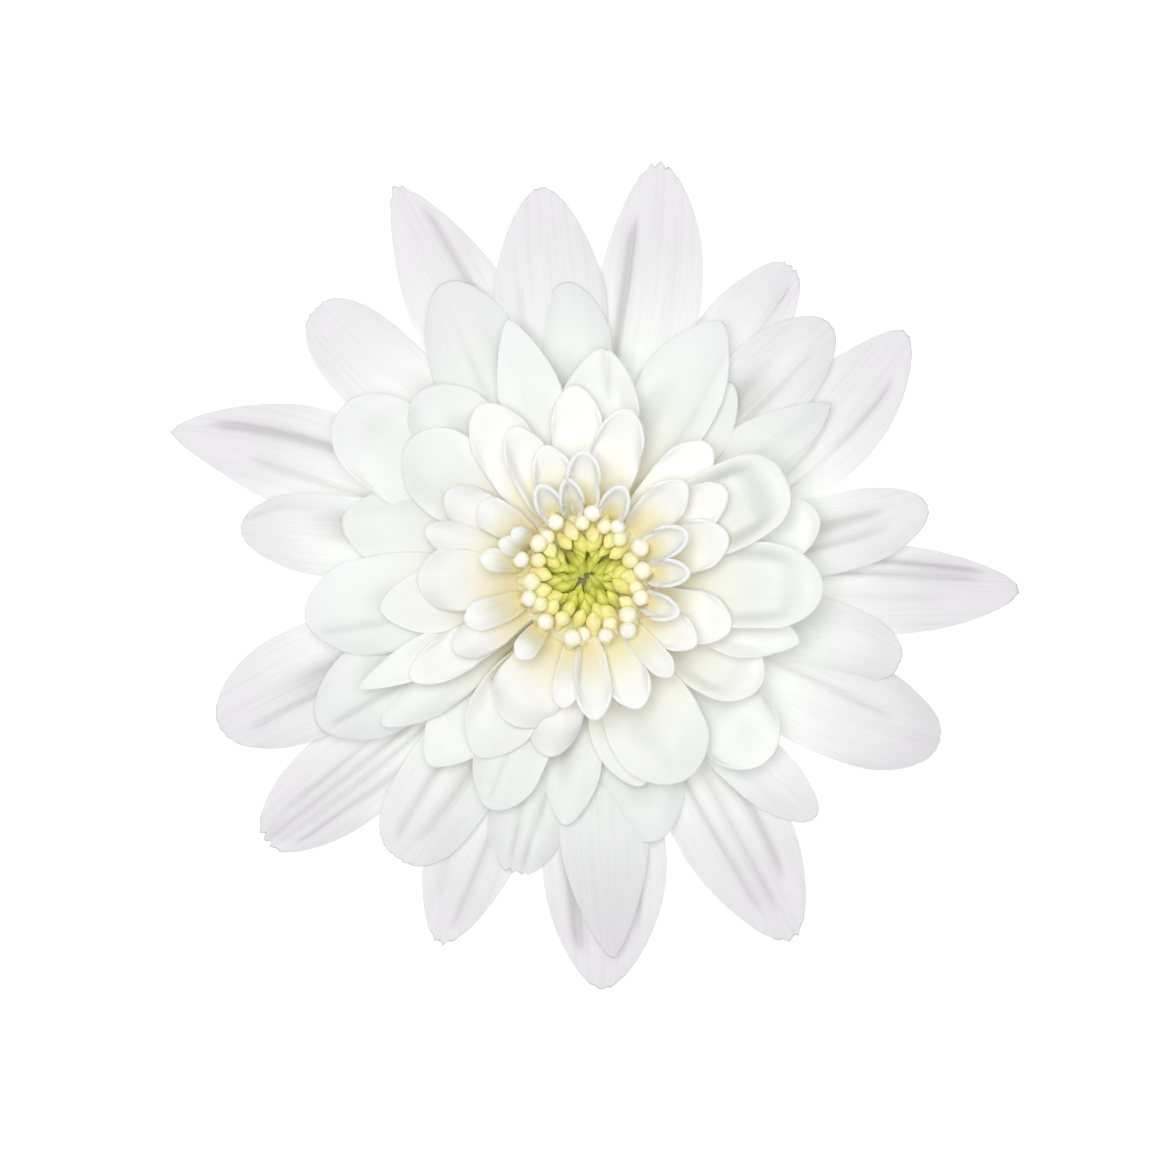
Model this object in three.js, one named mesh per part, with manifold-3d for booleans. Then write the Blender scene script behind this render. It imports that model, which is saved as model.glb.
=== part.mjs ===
// A white decorative chrysanthemum head, cut with a short stub of its stem and laid face up.
// Millimetres, +Z up out of the face. The origin is under the middle of the head, on the surface it lies on.

import * as THREE from "three";
import { mergeVertices } from "three/addons/utils/BufferGeometryUtils.js";
import Module from "manifold-3d";

// Driving dimensions of the stem and the receptacle, the swollen end that every floret grows from
const STEM_RADIUS = 1.7;
const STEM_RIDGE_DEPTH = 0.14;
const STEM_RIDGES = 8;
const RECEPTACLE_FOOT = 4.6;
const RECEPTACLE_RADIUS = 6.5; // where the lowest ray florets stand
const RECEPTACLE_TOP_RADIUS = 4.9; // where the innermost ray florets stand
const RECEPTACLE_TOP = 13.3;
const LOWEST_FLORET_BASE = 8.1;
const CLEARANCE = 0.3; // between two pieces that touch

// Driving dimensions of the ray florets, the petals
const FLORET_THICKNESS = 0.45;
const INNERMOST_LEVEL = 8; // levels count from 0, the outermost and lowest
const INNER_FOOT_LEVEL = 7.2; // where the florets of the inner groups stand together
const CROWN_TOP = 8.6; // the lowest florets arch along a crown that falls away from the axis
const CROWN_FALL = 0.0042;
const LEVEL_RISE = 1.5; // how much further each level's tips stand above that crown
const LOWEST_LAUNCH = 4; // degrees above horizontal
const LAUNCH_STEP = 7.2; // degrees steeper for each level
const OUTER_CUP = 7; // half angle of the cross-section's arc, degrees
const CUP_STEP = 3.4;
const CLAW_SHARE = 0.2; // width of the base, as a share of the greatest width
const OPENING_POWER = 1.3; // how late the width opens from the base
const WIDEST_AT = 0.62; // share of the length
const NARROWING = 0.22; // how far the width falls again towards the tip

// The strip that joins the feet of an inner group
const STRIP_WIDTH = 0.5;
const STRIP_DEPTH = 0.9;
const STRIP_BOTTOM = 12.3;
const STRIP_OVERHANG = 2; // degrees past the outermost florets

// Driving dimensions of the disc and the bracts
const DISC_FOOT = 13.9;
const DISC_RIM_RADIUS = 4.4;
const DISC_BASE_TOP = 14.4;
const DISC_RINGS = [
  { count: 24, footRadius: 3.9, headRadius: 5.7, headHeight: 17.0, headSize: 0.72 },
  { count: 16, footRadius: 3.2, headRadius: 3.9, headHeight: 17.2, headSize: 0.62 },
  { count: 10, footRadius: 2.2, headRadius: 2.3, headHeight: 16.8, headSize: 0.56 },
  { count: 5, footRadius: 1.1, headRadius: 0.9, headHeight: 16.2, headSize: 0.4 },
];
const BRACTS_PER_ROW = 10;
const BRACT_THICKNESS = 0.4;
const BRACT_ROWS = [
  { startRadius: 3.0, startHeight: 4.4, finishRadius: 8.6, finishHeight: 6.2, width: 2.9, offset: 0 },
  { startRadius: 3.5, startHeight: 5.0, finishRadius: 9.8, finishHeight: 7.3, width: 3.4, offset: 0.5 },
];

// Tip shapes: the roundness of the end's curve, and the share of the length over which it closes
const POINTED = { roundness: 1.5, share: 0.4 };
const OVAL = { roundness: 1.8, share: 0.38 };
const ROUND = { roundness: 2.1, share: 0.28 };
const BLUNT = { roundness: 2.5, share: 0.22 };

const WHITE = 0xf3f1f0;
const CREAM = 0xf6f4ea;
const DISC_YELLOW = 0xe9e39a;
const STEM_GREEN = 0x8fa66a;
const BRACT_GREEN = 0x7f9a5c;

// A ray floret by its level, the azimuth of its tip in degrees from +X, the tip's reach from the axis, its
// greatest width and its tip shape. A lean turns the base against the tip, a bow bends the floret to its left
// and a roll turns it about its own length.
const floret = (level, azimuth, reach, width, tip, more = {}) => ({
  level,
  azimuth,
  reach,
  width,
  tip,
  lean: 0,
  bow: 0,
  roll: 0,
  ...more,
});

// Anticlockwise from the top of the head
const OUTER_FLORETS = [
  floret(1.1, 96.3, 39.2, 11.1, OVAL, { bow: 0.4 }),
  floret(0, 115.9, 43.8, 10.2, POINTED, { lean: -2, bow: -0.5 }),
  floret(1, 135.0, 37.9, 9.1, BLUNT),
  floret(0, 160.6, 44.0, 10.6, POINTED, { bow: -2.0 }),
  floret(1.2, 171.7, 34.5, 8.3, ROUND, { bow: -0.5 }),
  floret(0.8, 202.4, 39.3, 11.2, ROUND, { bow: -1.0 }),
  floret(0, 219.5, 41.6, 9.8, ROUND, { bow: 0.2 }),
  floret(1.2, 236.3, 33.5, 9.6, BLUNT),
  floret(0.4, 248.4, 39.4, 9.4, OVAL, { bow: -0.6 }),
  floret(-0.1, 272.4, 41.2, 12.4, OVAL, { bow: 0.8 }),
  floret(1, 274.2, 38.0, 8.8, POINTED),
  floret(0.3, 299.8, 41.8, 11.2, OVAL, { bow: 0.4 }),
  floret(1.4, 314.0, 33.0, 6.3, ROUND, { bow: -0.9 }),
  floret(-0.2, 335.6, 39.5, 10.5, ROUND, { lean: -4, bow: -0.9 }),
  floret(0.9, 344.7, 32.4, 7.3, BLUNT, { lean: 4, bow: 0.7 }),
  floret(0, 358.4, 43.5, 8.9, OVAL, { bow: -0.3 }),
  floret(1.3, 12.0, 34.8, 7.8, ROUND, { lean: -2, bow: -0.9 }),
  floret(2, 35.3, 29.8, 7.0, POINTED),
  floret(0.2, 37.7, 40.4, 10.0, OVAL, { lean: -12, bow: -2.4 }),
  floret(1.2, 46.1, 35.1, 8.8, ROUND, { bow: 0.5 }),
  floret(0, 56.4, 37.4, 8.3, ROUND, { bow: 0.8 }),
  floret(0.4, 80.1, 42.4, 10.4, OVAL, { bow: -1.5 }),
];

const MIDDLE_FLORETS = [
  floret(2, 93.9, 29.5, 8.0, ROUND),
  floret(4.8, 106.7, 26.7, 6.4, POINTED),
  floret(2.8, 115.3, 32.6, 9.6, ROUND, { bow: 0.7 }),
  floret(4, 132.0, 25.0, 9.0, ROUND),
  floret(5, 144.0, 22.3, 8.5, ROUND),
  floret(3.0, 146.0, 28.9, 9.4, BLUNT),
  floret(3.8, 166.8, 25.0, 8.0, ROUND, { bow: -1.0 }),
  floret(5.7, 188.5, 20.6, 6.4, OVAL),
  floret(4.5, 188.9, 28.3, 9.6, ROUND, { bow: -0.6 }),
  floret(5.3, 206.0, 24.6, 4.0, POINTED),
  floret(3.3, 208.8, 30.6, 9.5, ROUND, { bow: -0.4 }),
  floret(4.2, 215.7, 24.9, 5.0, OVAL),
  floret(2.8, 230.0, 23.8, 7.5, OVAL),
  floret(4.6, 239.0, 20.8, 7.0, OVAL),
  floret(3.6, 247.5, 25.0, 7.0, ROUND),
  floret(1.8, 256.7, 30.5, 8.0, BLUNT),
  floret(2.7, 265.3, 24.6, 6.2, OVAL),
  floret(2, 284.3, 27.3, 8.8, ROUND),
  floret(3.2, 285.0, 21.2, 7.0, OVAL),
  floret(4.1, 295.0, 22.3, 9.6, ROUND),
  floret(2.4, 315.5, 24.3, 8.4, BLUNT),
  floret(3.2, 328.5, 19.9, 7.5, ROUND),
  floret(4.0, 343.4, 21.7, 6.0, OVAL),
  floret(4.7, 357.2, 22.8, 8.5, ROUND),
  floret(3.4, 14.3, 23.3, 7.8, ROUND),
  floret(5.3, 26.5, 21.2, 8.5, BLUNT),
  floret(2.6, 52.5, 24.3, 6.5, OVAL),
  floret(3.3, 61.8, 28.8, 8.4, OVAL, { bow: 0.4 }),
  floret(4, 85.5, 22.1, 7.8, OVAL),
];

// Six groups of small florets round the disc, each grown together at its foot
const INNER_FLORET_GROUPS = [
  [
    floret(8, 2.0, 10.3, 2.4, OVAL, { lean: 2 }),
    floret(6.2, 16.0, 14.5, 5.0, OVAL),
    floret(8, 23.0, 11.0, 2.8, OVAL),
    floret(6.1, 32.0, 16.2, 4.5, OVAL),
    floret(7, 43.0, 13.4, 4.0, OVAL),
    floret(5.8, 47.0, 17.7, 5.0, OVAL),
  ],
  [
    floret(8, 67.0, 9.8, 2.6, OVAL),
    floret(6.5, 76.0, 16.8, 4.8, OVAL),
    floret(8, 91.0, 12.4, 3.2, ROUND),
    floret(5.6, 93.0, 18.7, 5.0, OVAL),
    floret(8, 101.0, 9.9, 2.2, OVAL),
    floret(7, 107.0, 13.4, 3.8, OVAL),
    floret(6.5, 116.0, 16.2, 4.2, OVAL),
    floret(8, 116.5, 10.2, 2.4, OVAL),
    floret(5.9, 121.4, 19.6, 6.0, OVAL),
  ],
  [
    floret(7, 145.0, 12.7, 3.4, ROUND),
    floret(8, 147.0, 8.6, 2.0, ROUND),
    floret(6.0, 149.0, 16.2, 4.4, ROUND),
    floret(8, 157.0, 9.2, 2.0, ROUND),
    floret(6.3, 163.0, 16.5, 3.2, ROUND),
    floret(8, 169.0, 10.5, 2.4, ROUND, { lean: -2 }),
  ],
  [
    floret(6.8, 180.5, 16.7, 6.0, ROUND, { lean: 3 }),
    floret(8, 200.0, 12.6, 3.0, OVAL),
    floret(7, 209.0, 14.8, 3.6, OVAL),
    floret(6, 210.0, 19.6, 4.2, OVAL),
    floret(8, 230.0, 10.3, 2.4, OVAL, { lean: -2 }),
  ],
  [
    floret(6, 242.5, 16.4, 7.0, ROUND, { lean: 4 }),
    floret(7.2, 260.0, 13.0, 3.0, OVAL),
    floret(5.4, 258.5, 18.2, 5.2, OVAL),
    floret(7.4, 274.0, 13.8, 3.6, ROUND),
    floret(6.7, 293.0, 13.7, 4.2, OVAL),
  ],
  [
    floret(7.4, 311.0, 12.9, 3.0, OVAL, { lean: 2 }),
    floret(7, 329.0, 12.6, 3.6, OVAL),
    floret(5.7, 340.6, 15.0, 5.0, OVAL),
    floret(8, 340.0, 9.9, 2.4, OVAL, { lean: -2 }),
  ],
];

const wasm = await Module();
wasm.setup();

const UP = new THREE.Vector3(0, 0, 1);
const degrees = THREE.MathUtils.degToRad;

// A point at a radius and an azimuth in degrees from the axis, at a height.
function polarPoint(radius, azimuth, height) {
  const angle = degrees(azimuth);
  return new THREE.Vector3(radius * Math.cos(angle), radius * Math.sin(angle), height);
}

function solidFrom(geometry) {
  const bare = geometry.clone();
  bare.deleteAttribute("normal");
  bare.deleteAttribute("uv");
  const merged = mergeVertices(bare, 1e-4);
  return new wasm.Manifold(
    new wasm.Mesh({
      numProp: 3,
      vertProperties: new Float32Array(merged.attributes.position.array),
      triVerts: new Uint32Array(merged.index.array),
    }),
  );
}

function geometryFrom(solid) {
  const { vertProperties, triVerts } = solid.getMesh();
  const geometry = new THREE.BufferGeometry();
  geometry.setAttribute("position", new THREE.BufferAttribute(vertProperties, 3));
  geometry.setIndex(new THREE.BufferAttribute(triVerts, 1));
  geometry.computeVertexNormals();
  return geometry;
}

// Joins bodies into one, without the specks of hollow that blades may close off where they cross.
function joined(geometries) {
  const whole = geometries.map(solidFrom).reduce((all, next) => all.add(next));
  const [largest] = whole.decompose().sort((a, b) => b.volume() - a.volume());
  return geometryFrom(largest);
}

// A blade is a thin leaf-like body along a spine: a curve that leaves start at the launch angle, reaches
// finish at the arrival angle and bows sideways. Its cross-section is an arc.
function bladeSpine(blade) {
  const across = new THREE.Vector3().subVectors(blade.finish, blade.start);
  const handle = across.length() / 3;
  const ahead = across.clone().setZ(0).normalize();
  const left = new THREE.Vector3().crossVectors(UP, ahead);
  const towards = (angle) =>
    ahead.clone().multiplyScalar(Math.cos(angle)).addScaledVector(UP, Math.sin(angle));
  const curve = new THREE.CubicBezierCurve3(
    blade.start,
    blade.start.clone().addScaledVector(towards(blade.launch), handle),
    blade.finish.clone().addScaledVector(towards(blade.arrival), -handle),
    blade.finish,
  );
  return (share) => curve.getPoint(share).addScaledVector(left, 4 * blade.bow * share * (1 - share));
}

function bladeWidthShare(blade, share) {
  const opening = Math.sin((Math.min(share / WIDEST_AT, 1) * Math.PI) / 2) ** OPENING_POWER;
  const beyond = Math.max((share - WIDEST_AT) / (1 - WIDEST_AT), 0);
  return (blade.claw + (1 - blade.claw) * opening) * (1 - NARROWING * beyond ** 2);
}

// The share of the length at which the blade ends, for a place across it from -1 to 1.
function bladeEnd(blade, across) {
  const { roundness, share } = blade.tip;
  return 1 - share * (1 - Math.max(1 - Math.abs(across) ** roundness, 0) ** (1 / roundness));
}

// The upper and the lower surface point at a place across and along the blade.
function bladeSkin(blade, spine, across, along) {
  const step = 0.01;
  const middle = spine(along);
  const tangent = spine(along + step).sub(spine(along - step)).normalize();
  const side = new THREE.Vector3().crossVectors(UP, tangent).normalize().applyAxisAngle(tangent, blade.roll);
  const normal = new THREE.Vector3().crossVectors(tangent, side);
  const halfWidth = (blade.width / 2) * bladeWidthShare(blade, along);
  const arc = halfWidth / Math.sin(blade.cup);
  const turn = blade.cup * across;
  middle.addScaledVector(side, arc * Math.sin(turn));
  middle.addScaledVector(normal, arc * (1 - Math.cos(turn)));
  const outward = normal.clone().multiplyScalar(Math.cos(turn)).addScaledVector(side, -Math.sin(turn));
  return [1, -1].map((face) => middle.clone().addScaledVector(outward, (face * blade.thickness) / 2));
}

// The closed body of a blade: rings of points round the cross-section, joined from the base to the tip.
function bladeGeometry(blade, columns, rows) {
  const spine = bladeSpine(blade);
  const positions = [];
  const ringSize = 2 * (columns + 1);
  for (let row = 0; row <= rows; row += 1) {
    const upper = [];
    const lower = [];
    for (let column = 0; column <= columns; column += 1) {
      const across = Math.sin(((2 * column) / columns - 1) * (Math.PI / 2));
      const [top, bottom] = bladeSkin(blade, spine, across, (row / rows) * bladeEnd(blade, across));
      upper.push(top);
      lower.unshift(bottom);
    }
    [...upper, ...lower].forEach((point) => positions.push(...point.toArray()));
  }
  const indices = [];
  const quad = (a, b, c, d) => indices.push(a, b, c, a, c, d);
  for (let row = 0; row < rows; row += 1) {
    const ring = row * ringSize;
    for (let k = 0; k < ringSize; k += 1) {
      const next = (k + 1) % ringSize;
      quad(ring + k, ring + k + ringSize, ring + next + ringSize, ring + next);
    }
  }
  const tipRing = rows * ringSize;
  for (let column = 0; column < columns; column += 1) {
    const opposite = ringSize - 1 - column;
    quad(column, column + 1, opposite - 1, opposite);
    quad(tipRing + column, tipRing + opposite, tipRing + opposite - 1, tipRing + column + 1);
  }
  const geometry = new THREE.BufferGeometry();
  geometry.setAttribute("position", new THREE.Float32BufferAttribute(positions, 3));
  geometry.setIndex(indices);
  geometry.computeVertexNormals();
  return geometry;
}

function floretBlade(ray, footLevel = ray.level) {
  const inward = footLevel / INNERMOST_LEVEL;
  const baseHeight = THREE.MathUtils.lerp(LOWEST_FLORET_BASE, RECEPTACLE_TOP, inward);
  const flank = THREE.MathUtils.lerp(RECEPTACLE_RADIUS, RECEPTACLE_TOP_RADIUS, inward);
  const crown = CROWN_TOP - CROWN_FALL * ray.reach ** 2;
  return {
    start: polarPoint(flank + CLEARANCE + FLORET_THICKNESS / 2, ray.azimuth + ray.lean, baseHeight),
    finish: polarPoint(ray.reach, ray.azimuth, crown + LEVEL_RISE * ray.level),
    launch: degrees(LOWEST_LAUNCH + LAUNCH_STEP * ray.level),
    arrival: Math.atan(-2 * CROWN_FALL * ray.reach),
    bow: ray.bow,
    roll: degrees(ray.roll),
    width: ray.width,
    claw: CLAW_SHARE,
    cup: degrees(OUTER_CUP + CUP_STEP * ray.level),
    tip: ray.tip,
    thickness: FLORET_THICKNESS,
  };
}

// A lathe round the vertical axis, from pairs of radius and height.
function turned(pairs, sides) {
  const profile = pairs.map(([radius, height]) => new THREE.Vector2(radius, height));
  return new THREE.LatheGeometry(profile, sides).rotateX(Math.PI / 2);
}

// The stub of stem, ridged along its length, and the receptacle on it, which grew as one piece.
function stemAndReceptacle() {
  const pointsPerRidge = 4;
  const steps = STEM_RIDGES * pointsPerRidge;
  const outline = Array.from({ length: steps }, (_, k) => {
    const radius = STEM_RADIUS + STEM_RIDGE_DEPTH * Math.cos((k / pointsPerRidge) * 2 * Math.PI);
    const angle = (k / steps) * 2 * Math.PI;
    return new THREE.Vector2(radius * Math.cos(angle), radius * Math.sin(angle));
  });
  const stub = new THREE.ExtrudeGeometry(new THREE.Shape(outline), {
    depth: RECEPTACLE_FOOT + 1,
    bevelEnabled: false,
  });
  const receptacle = turned(
    [
      [0, RECEPTACLE_FOOT],
      [STEM_RADIUS, RECEPTACLE_FOOT],
      [RECEPTACLE_RADIUS - 0.6, LOWEST_FLORET_BASE - 0.7],
      [RECEPTACLE_RADIUS, LOWEST_FLORET_BASE],
      [RECEPTACLE_TOP_RADIUS, RECEPTACLE_TOP],
      [RECEPTACLE_TOP_RADIUS - 0.5, RECEPTACLE_TOP + 0.2],
      [0, RECEPTACLE_TOP + 0.3],
    ],
    32,
  );
  return joined([stub, receptacle]);
}

// Two rows of small green bracts under the florets, grown together at their feet round the stem.
function bracts() {
  const collar = turned(
    [
      [2.25, 3.9],
      [3.1, 4.0],
      [4.0, 4.9],
      [4.0, 5.4],
      [2.25, 4.5],
      [2.25, 3.9],
    ],
    20,
  );
  const blades = BRACT_ROWS.flatMap((row) =>
    Array.from({ length: BRACTS_PER_ROW }, (_, k) => {
      const azimuth = ((k + row.offset) / BRACTS_PER_ROW) * 360;
      return bladeGeometry(
        {
          start: polarPoint(row.startRadius, azimuth, row.startHeight),
          finish: polarPoint(row.finishRadius, azimuth, row.finishHeight),
          launch: degrees(34),
          arrival: degrees(6),
          bow: 0,
          roll: 0,
          width: row.width,
          claw: 0.4,
          cup: degrees(16),
          tip: POINTED,
          thickness: BRACT_THICKNESS,
        },
        2,
        3,
      );
    }),
  );
  return joined([collar, ...blades]);
}

// The disc: small closed florets like clubs on one base. The outermost lean out and the inner ones lean in.
function discFlorets() {
  const base = turned(
    [
      [0, DISC_FOOT],
      [DISC_RIM_RADIUS, DISC_FOOT - 0.1],
      [DISC_RIM_RADIUS, DISC_BASE_TOP - 0.2],
      [0, DISC_BASE_TOP],
    ],
    24,
  );
  const clubs = DISC_RINGS.flatMap((ring) =>
    Array.from({ length: ring.count }, (_, k) => {
      const azimuth = (k / ring.count) * 360;
      const foot = polarPoint(ring.footRadius, azimuth, DISC_BASE_TOP - 0.4);
      const head = polarPoint(ring.headRadius, azimuth, ring.headHeight);
      return club(foot, head, ring.headSize);
    }),
  );
  return joined([base, ...clubs]);
}

// A body that stands on a foot and swells to a blunt head.
function club(foot, head, headSize) {
  const sides = 5;
  const along = new THREE.Vector3().subVectors(head, foot);
  const length = along.length();
  const shape = turned(
    [
      [0, 0],
      [headSize * 0.5, 0],
      [headSize, length * 0.75],
      [0, length + headSize * 0.4],
    ],
    sides,
  );
  const turn = new THREE.Quaternion().setFromUnitVectors(UP, along.normalize());
  return shape.applyQuaternion(turn).translate(...foot.toArray());
}

// A group of inner florets on a curved strip of rim that hugs the receptacle.
function innerFloretGroup(rays) {
  const azimuths = rays.map((ray) => ray.azimuth);
  const from = degrees(Math.min(...azimuths) - STRIP_OVERHANG);
  const to = degrees(Math.max(...azimuths) + STRIP_OVERHANG);
  const inner = RECEPTACLE_TOP_RADIUS + CLEARANCE + 0.2;
  const outline = new THREE.Shape();
  outline.absarc(0, 0, inner, from, to, false);
  outline.absarc(0, 0, inner + STRIP_WIDTH, to, from, true);
  const strip = new THREE.ExtrudeGeometry(outline, {
    depth: STRIP_DEPTH,
    bevelEnabled: false,
    curveSegments: 6,
  });
  strip.translate(0, 0, STRIP_BOTTOM);
  return joined([strip, ...rays.map((ray) => bladeGeometry(floretBlade(ray, INNER_FOOT_LEVEL), 2, 4))]);
}

function piece(name, geometry, color, roughness) {
  const mesh = new THREE.Mesh(geometry, new THREE.MeshStandardMaterial({ color, roughness, metalness: 0 }));
  mesh.name = name;
  return mesh;
}

const twoDigits = (k) => String(k + 1).padStart(2, "0");
const head = new THREE.Group();
head.add(piece("stem_and_receptacle", stemAndReceptacle(), STEM_GREEN, 0.6));
head.add(piece("bracts", bracts(), BRACT_GREEN, 0.65));
head.add(piece("disc_florets", discFlorets(), DISC_YELLOW, 0.55));
OUTER_FLORETS.forEach((ray, k) => {
  head.add(piece(`outer_ray_floret_${twoDigits(k)}`, bladeGeometry(floretBlade(ray), 4, 5), WHITE, 0.5));
});
MIDDLE_FLORETS.forEach((ray, k) => {
  head.add(piece(`middle_ray_floret_${twoDigits(k)}`, bladeGeometry(floretBlade(ray), 4, 5), CREAM, 0.5));
});
INNER_FLORET_GROUPS.forEach((rays, k) => {
  head.add(piece(`inner_ray_florets_${k + 1}`, innerFloretGroup(rays), CREAM, 0.5));
});

// Puts the middle of the head's box over the origin.
const middle = new THREE.Box3().setFromObject(head).getCenter(new THREE.Vector3());
head.position.set(-middle.x, -middle.y, 0);

const chrysanthemum = new THREE.Group();
chrysanthemum.add(head);

export default chrysanthemum;
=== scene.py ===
# A white decorative chrysanthemum head, laid face up, seen from straight above.
import math
from types import SimpleNamespace

import bmesh
import bpy
import numpy as np
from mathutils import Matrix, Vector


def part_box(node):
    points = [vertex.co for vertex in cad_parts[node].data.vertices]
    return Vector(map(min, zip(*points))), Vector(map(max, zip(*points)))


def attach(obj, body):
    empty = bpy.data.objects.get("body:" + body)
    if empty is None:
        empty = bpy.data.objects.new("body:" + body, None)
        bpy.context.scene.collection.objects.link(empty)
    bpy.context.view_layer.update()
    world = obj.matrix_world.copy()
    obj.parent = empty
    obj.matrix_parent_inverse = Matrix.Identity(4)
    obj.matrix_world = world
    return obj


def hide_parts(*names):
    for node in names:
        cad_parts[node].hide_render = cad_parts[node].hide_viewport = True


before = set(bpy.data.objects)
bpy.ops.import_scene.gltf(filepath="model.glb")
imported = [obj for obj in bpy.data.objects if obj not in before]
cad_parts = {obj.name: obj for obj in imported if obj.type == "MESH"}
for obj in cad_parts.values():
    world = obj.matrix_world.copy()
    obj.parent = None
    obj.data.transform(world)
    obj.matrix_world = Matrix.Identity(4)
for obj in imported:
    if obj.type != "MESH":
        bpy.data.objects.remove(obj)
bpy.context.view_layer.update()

mm = 0.001  # the florets below are written in millimetres
stemLow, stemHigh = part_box("stem_and_receptacle")
axisX = (stemLow.x + stemHigh.x) / 2 / mm  # the flower's own axis
axisY = (stemLow.y + stemHigh.y) / 2 / mm
up = np.array([0.0, 0.0, 1.0])
print("frame loaded, flower axis at", round(axisX, 2), round(axisY, 2), "mm")


# Camera, light and floor

studio = {
    "cameraHeight": 0.649,
    "lens": 200,
    "cameraOffset": (-0.1, -0.6),  # mm from the flower's axis
    "nearClip": 0.01,
    "skyColour": (0.975, 0.99, 1.0),
    "skyStrength": 0.40,
    "keyPlace": (-0.12, 0.08, 1.4),
    "keySize": 0.8,
    "keyPower": 14.5,
    "floorHalf": 3.0,
    "floorColour": (0.9, 0.9, 0.9, 1),
    "floorRoughness": 0.9,
    "floorGlow": 0.35,
}


def newObject(name, data):
    made = bpy.data.objects.new(name, data)
    bpy.context.scene.collection.objects.link(made)
    return made


def setCamera():
    camera = newObject("camera", bpy.data.cameras.new("camera"))
    offsetX, offsetY = studio["cameraOffset"]
    camera.location = ((axisX + offsetX) * mm, (axisY + offsetY) * mm, studio["cameraHeight"])
    camera.data.lens = studio["lens"]
    camera.data.clip_start = studio["nearClip"]
    bpy.context.scene.camera = camera


def setLight():
    scene = bpy.context.scene
    scene.view_settings.view_transform = "Standard"
    scene.cycles.diffuse_bounces = 10  # light goes deep between the petals
    scene.cycles.transmission_bounces = 8
    scene.cycles.max_bounces = 16
    sky = bpy.data.worlds.new("soft sky")
    sky.use_nodes = True
    background = sky.node_tree.nodes["Background"]
    background.inputs["Color"].default_value = (*studio["skyColour"], 1)
    background.inputs["Strength"].default_value = studio["skyStrength"]
    scene.world = sky
    lamp = bpy.data.lights.new("key softbox", "AREA")
    lamp.size = studio["keySize"]
    lamp.energy = studio["keyPower"]
    key = newObject("key softbox", lamp)
    key.location = studio["keyPlace"]
    key.rotation_euler = (-key.location).to_track_quat("-Z", "Y").to_euler()


def layFloor():
    half = studio["floorHalf"]
    corners = [(-half, -half, 0), (half, -half, 0), (half, half, 0), (-half, half, 0)]
    mesh = bpy.data.meshes.new("floor")
    mesh.from_pydata(corners, [], [(0, 1, 2, 3)])
    paint = bpy.data.materials.new("white paper floor")
    paint.use_nodes = True
    surface = paint.node_tree.nodes["Principled BSDF"]
    surface.inputs["Base Color"].default_value = studio["floorColour"]
    surface.inputs["Roughness"].default_value = studio["floorRoughness"]
    surface.inputs["Emission Color"].default_value = (1, 1, 1, 1)
    surface.inputs["Emission Strength"].default_value = studio["floorGlow"]
    mesh.materials.append(paint)
    newObject("floor", mesh)


setCamera()
setLight()
layFloor()
print("camera, light and floor set")


# Node helpers

class NodeMaker:
    # short ways to add nodes; a value is another node's output, or a plain number, colour or vector
    def __init__(self, tree):
        self.tree = tree

    def plug(self, node, values):
        for name, value in values.items():
            if isinstance(value, bpy.types.NodeSocket):
                self.tree.links.new(value, node.inputs[name])
            else:
                node.inputs[name].default_value = value

    def add(self, kind, values=None, **settings):
        made = self.tree.nodes.new(kind)
        for name, setting in settings.items():
            setattr(made, name, setting)
        self.plug(made, values or {})
        return made

    def first(self, kind, values=None, **settings):
        return self.add(kind, values, **settings).outputs[0]

    def maths(self, operation, *values):
        return self.first("ShaderNodeMath", dict(enumerate(values)), operation=operation)

    def vector(self, x, y, z=0.0):
        return self.first("ShaderNodeCombineXYZ", {0: x, 1: y, 2: z})

    def split(self, vector):
        return self.add("ShaderNodeSeparateXYZ", {0: vector}).outputs[:2]

    def ramp(self, factor, stops, easing="EASE"):
        made = self.add("ShaderNodeValToRGB", {0: factor})
        made.color_ramp.interpolation = easing
        elements = made.color_ramp.elements
        while len(elements) < len(stops):
            elements.new(0.5)
        for element, (place, colour) in zip(elements, stops):
            element.position = place
            element.color = (*colour, 1)
        return made.outputs[0]

    def mix(self, factor, first, second, blend="MIX"):
        values = {0: factor, 6: first, 7: second}
        return self.add("ShaderNodeMix", values, data_type="RGBA", blend_type=blend).outputs[2]

    def tint(self, colour, *tints):
        for each in tints:
            colour = self.mix(1.0, colour, each, "MULTIPLY")
        return colour

    def noise(self, place, scale, detail, roughness=0.5, **settings):
        values = {"Vector": place, "Scale": scale, "Detail": detail, "Roughness": roughness}
        return self.first("ShaderNodeTexNoise", values, **settings)

    def bump(self, height, strength, depth):
        return self.first("ShaderNodeBump", {"Height": height, "Strength": strength, "Distance": depth * mm})

    def place(self):
        return self.add("ShaderNodeTexCoord").outputs["Object"]


class GroupMaker(NodeMaker):
    # a node group of its own, with inputs and outputs given as the names of each kind of socket
    def __init__(self, name, kind, inputs, outputs):
        super().__init__(bpy.data.node_groups.new(name, kind))
        self.sockets = {}
        face = self.tree.interface
        for way, kinds in (("INPUT", inputs), ("OUTPUT", outputs)):
            for socket, labels in kinds.items():
                for label in labels:
                    made = face.new_socket(label, in_out=way, socket_type="NodeSocket" + socket)
                    self.sockets[label] = made.identifier
        self.entry = self.add("NodeGroupInput").outputs
        self.leave = self.add("NodeGroupOutput")


# Shared effects

toneReach = 50  # mm from the axis at which the distance is 1


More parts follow.
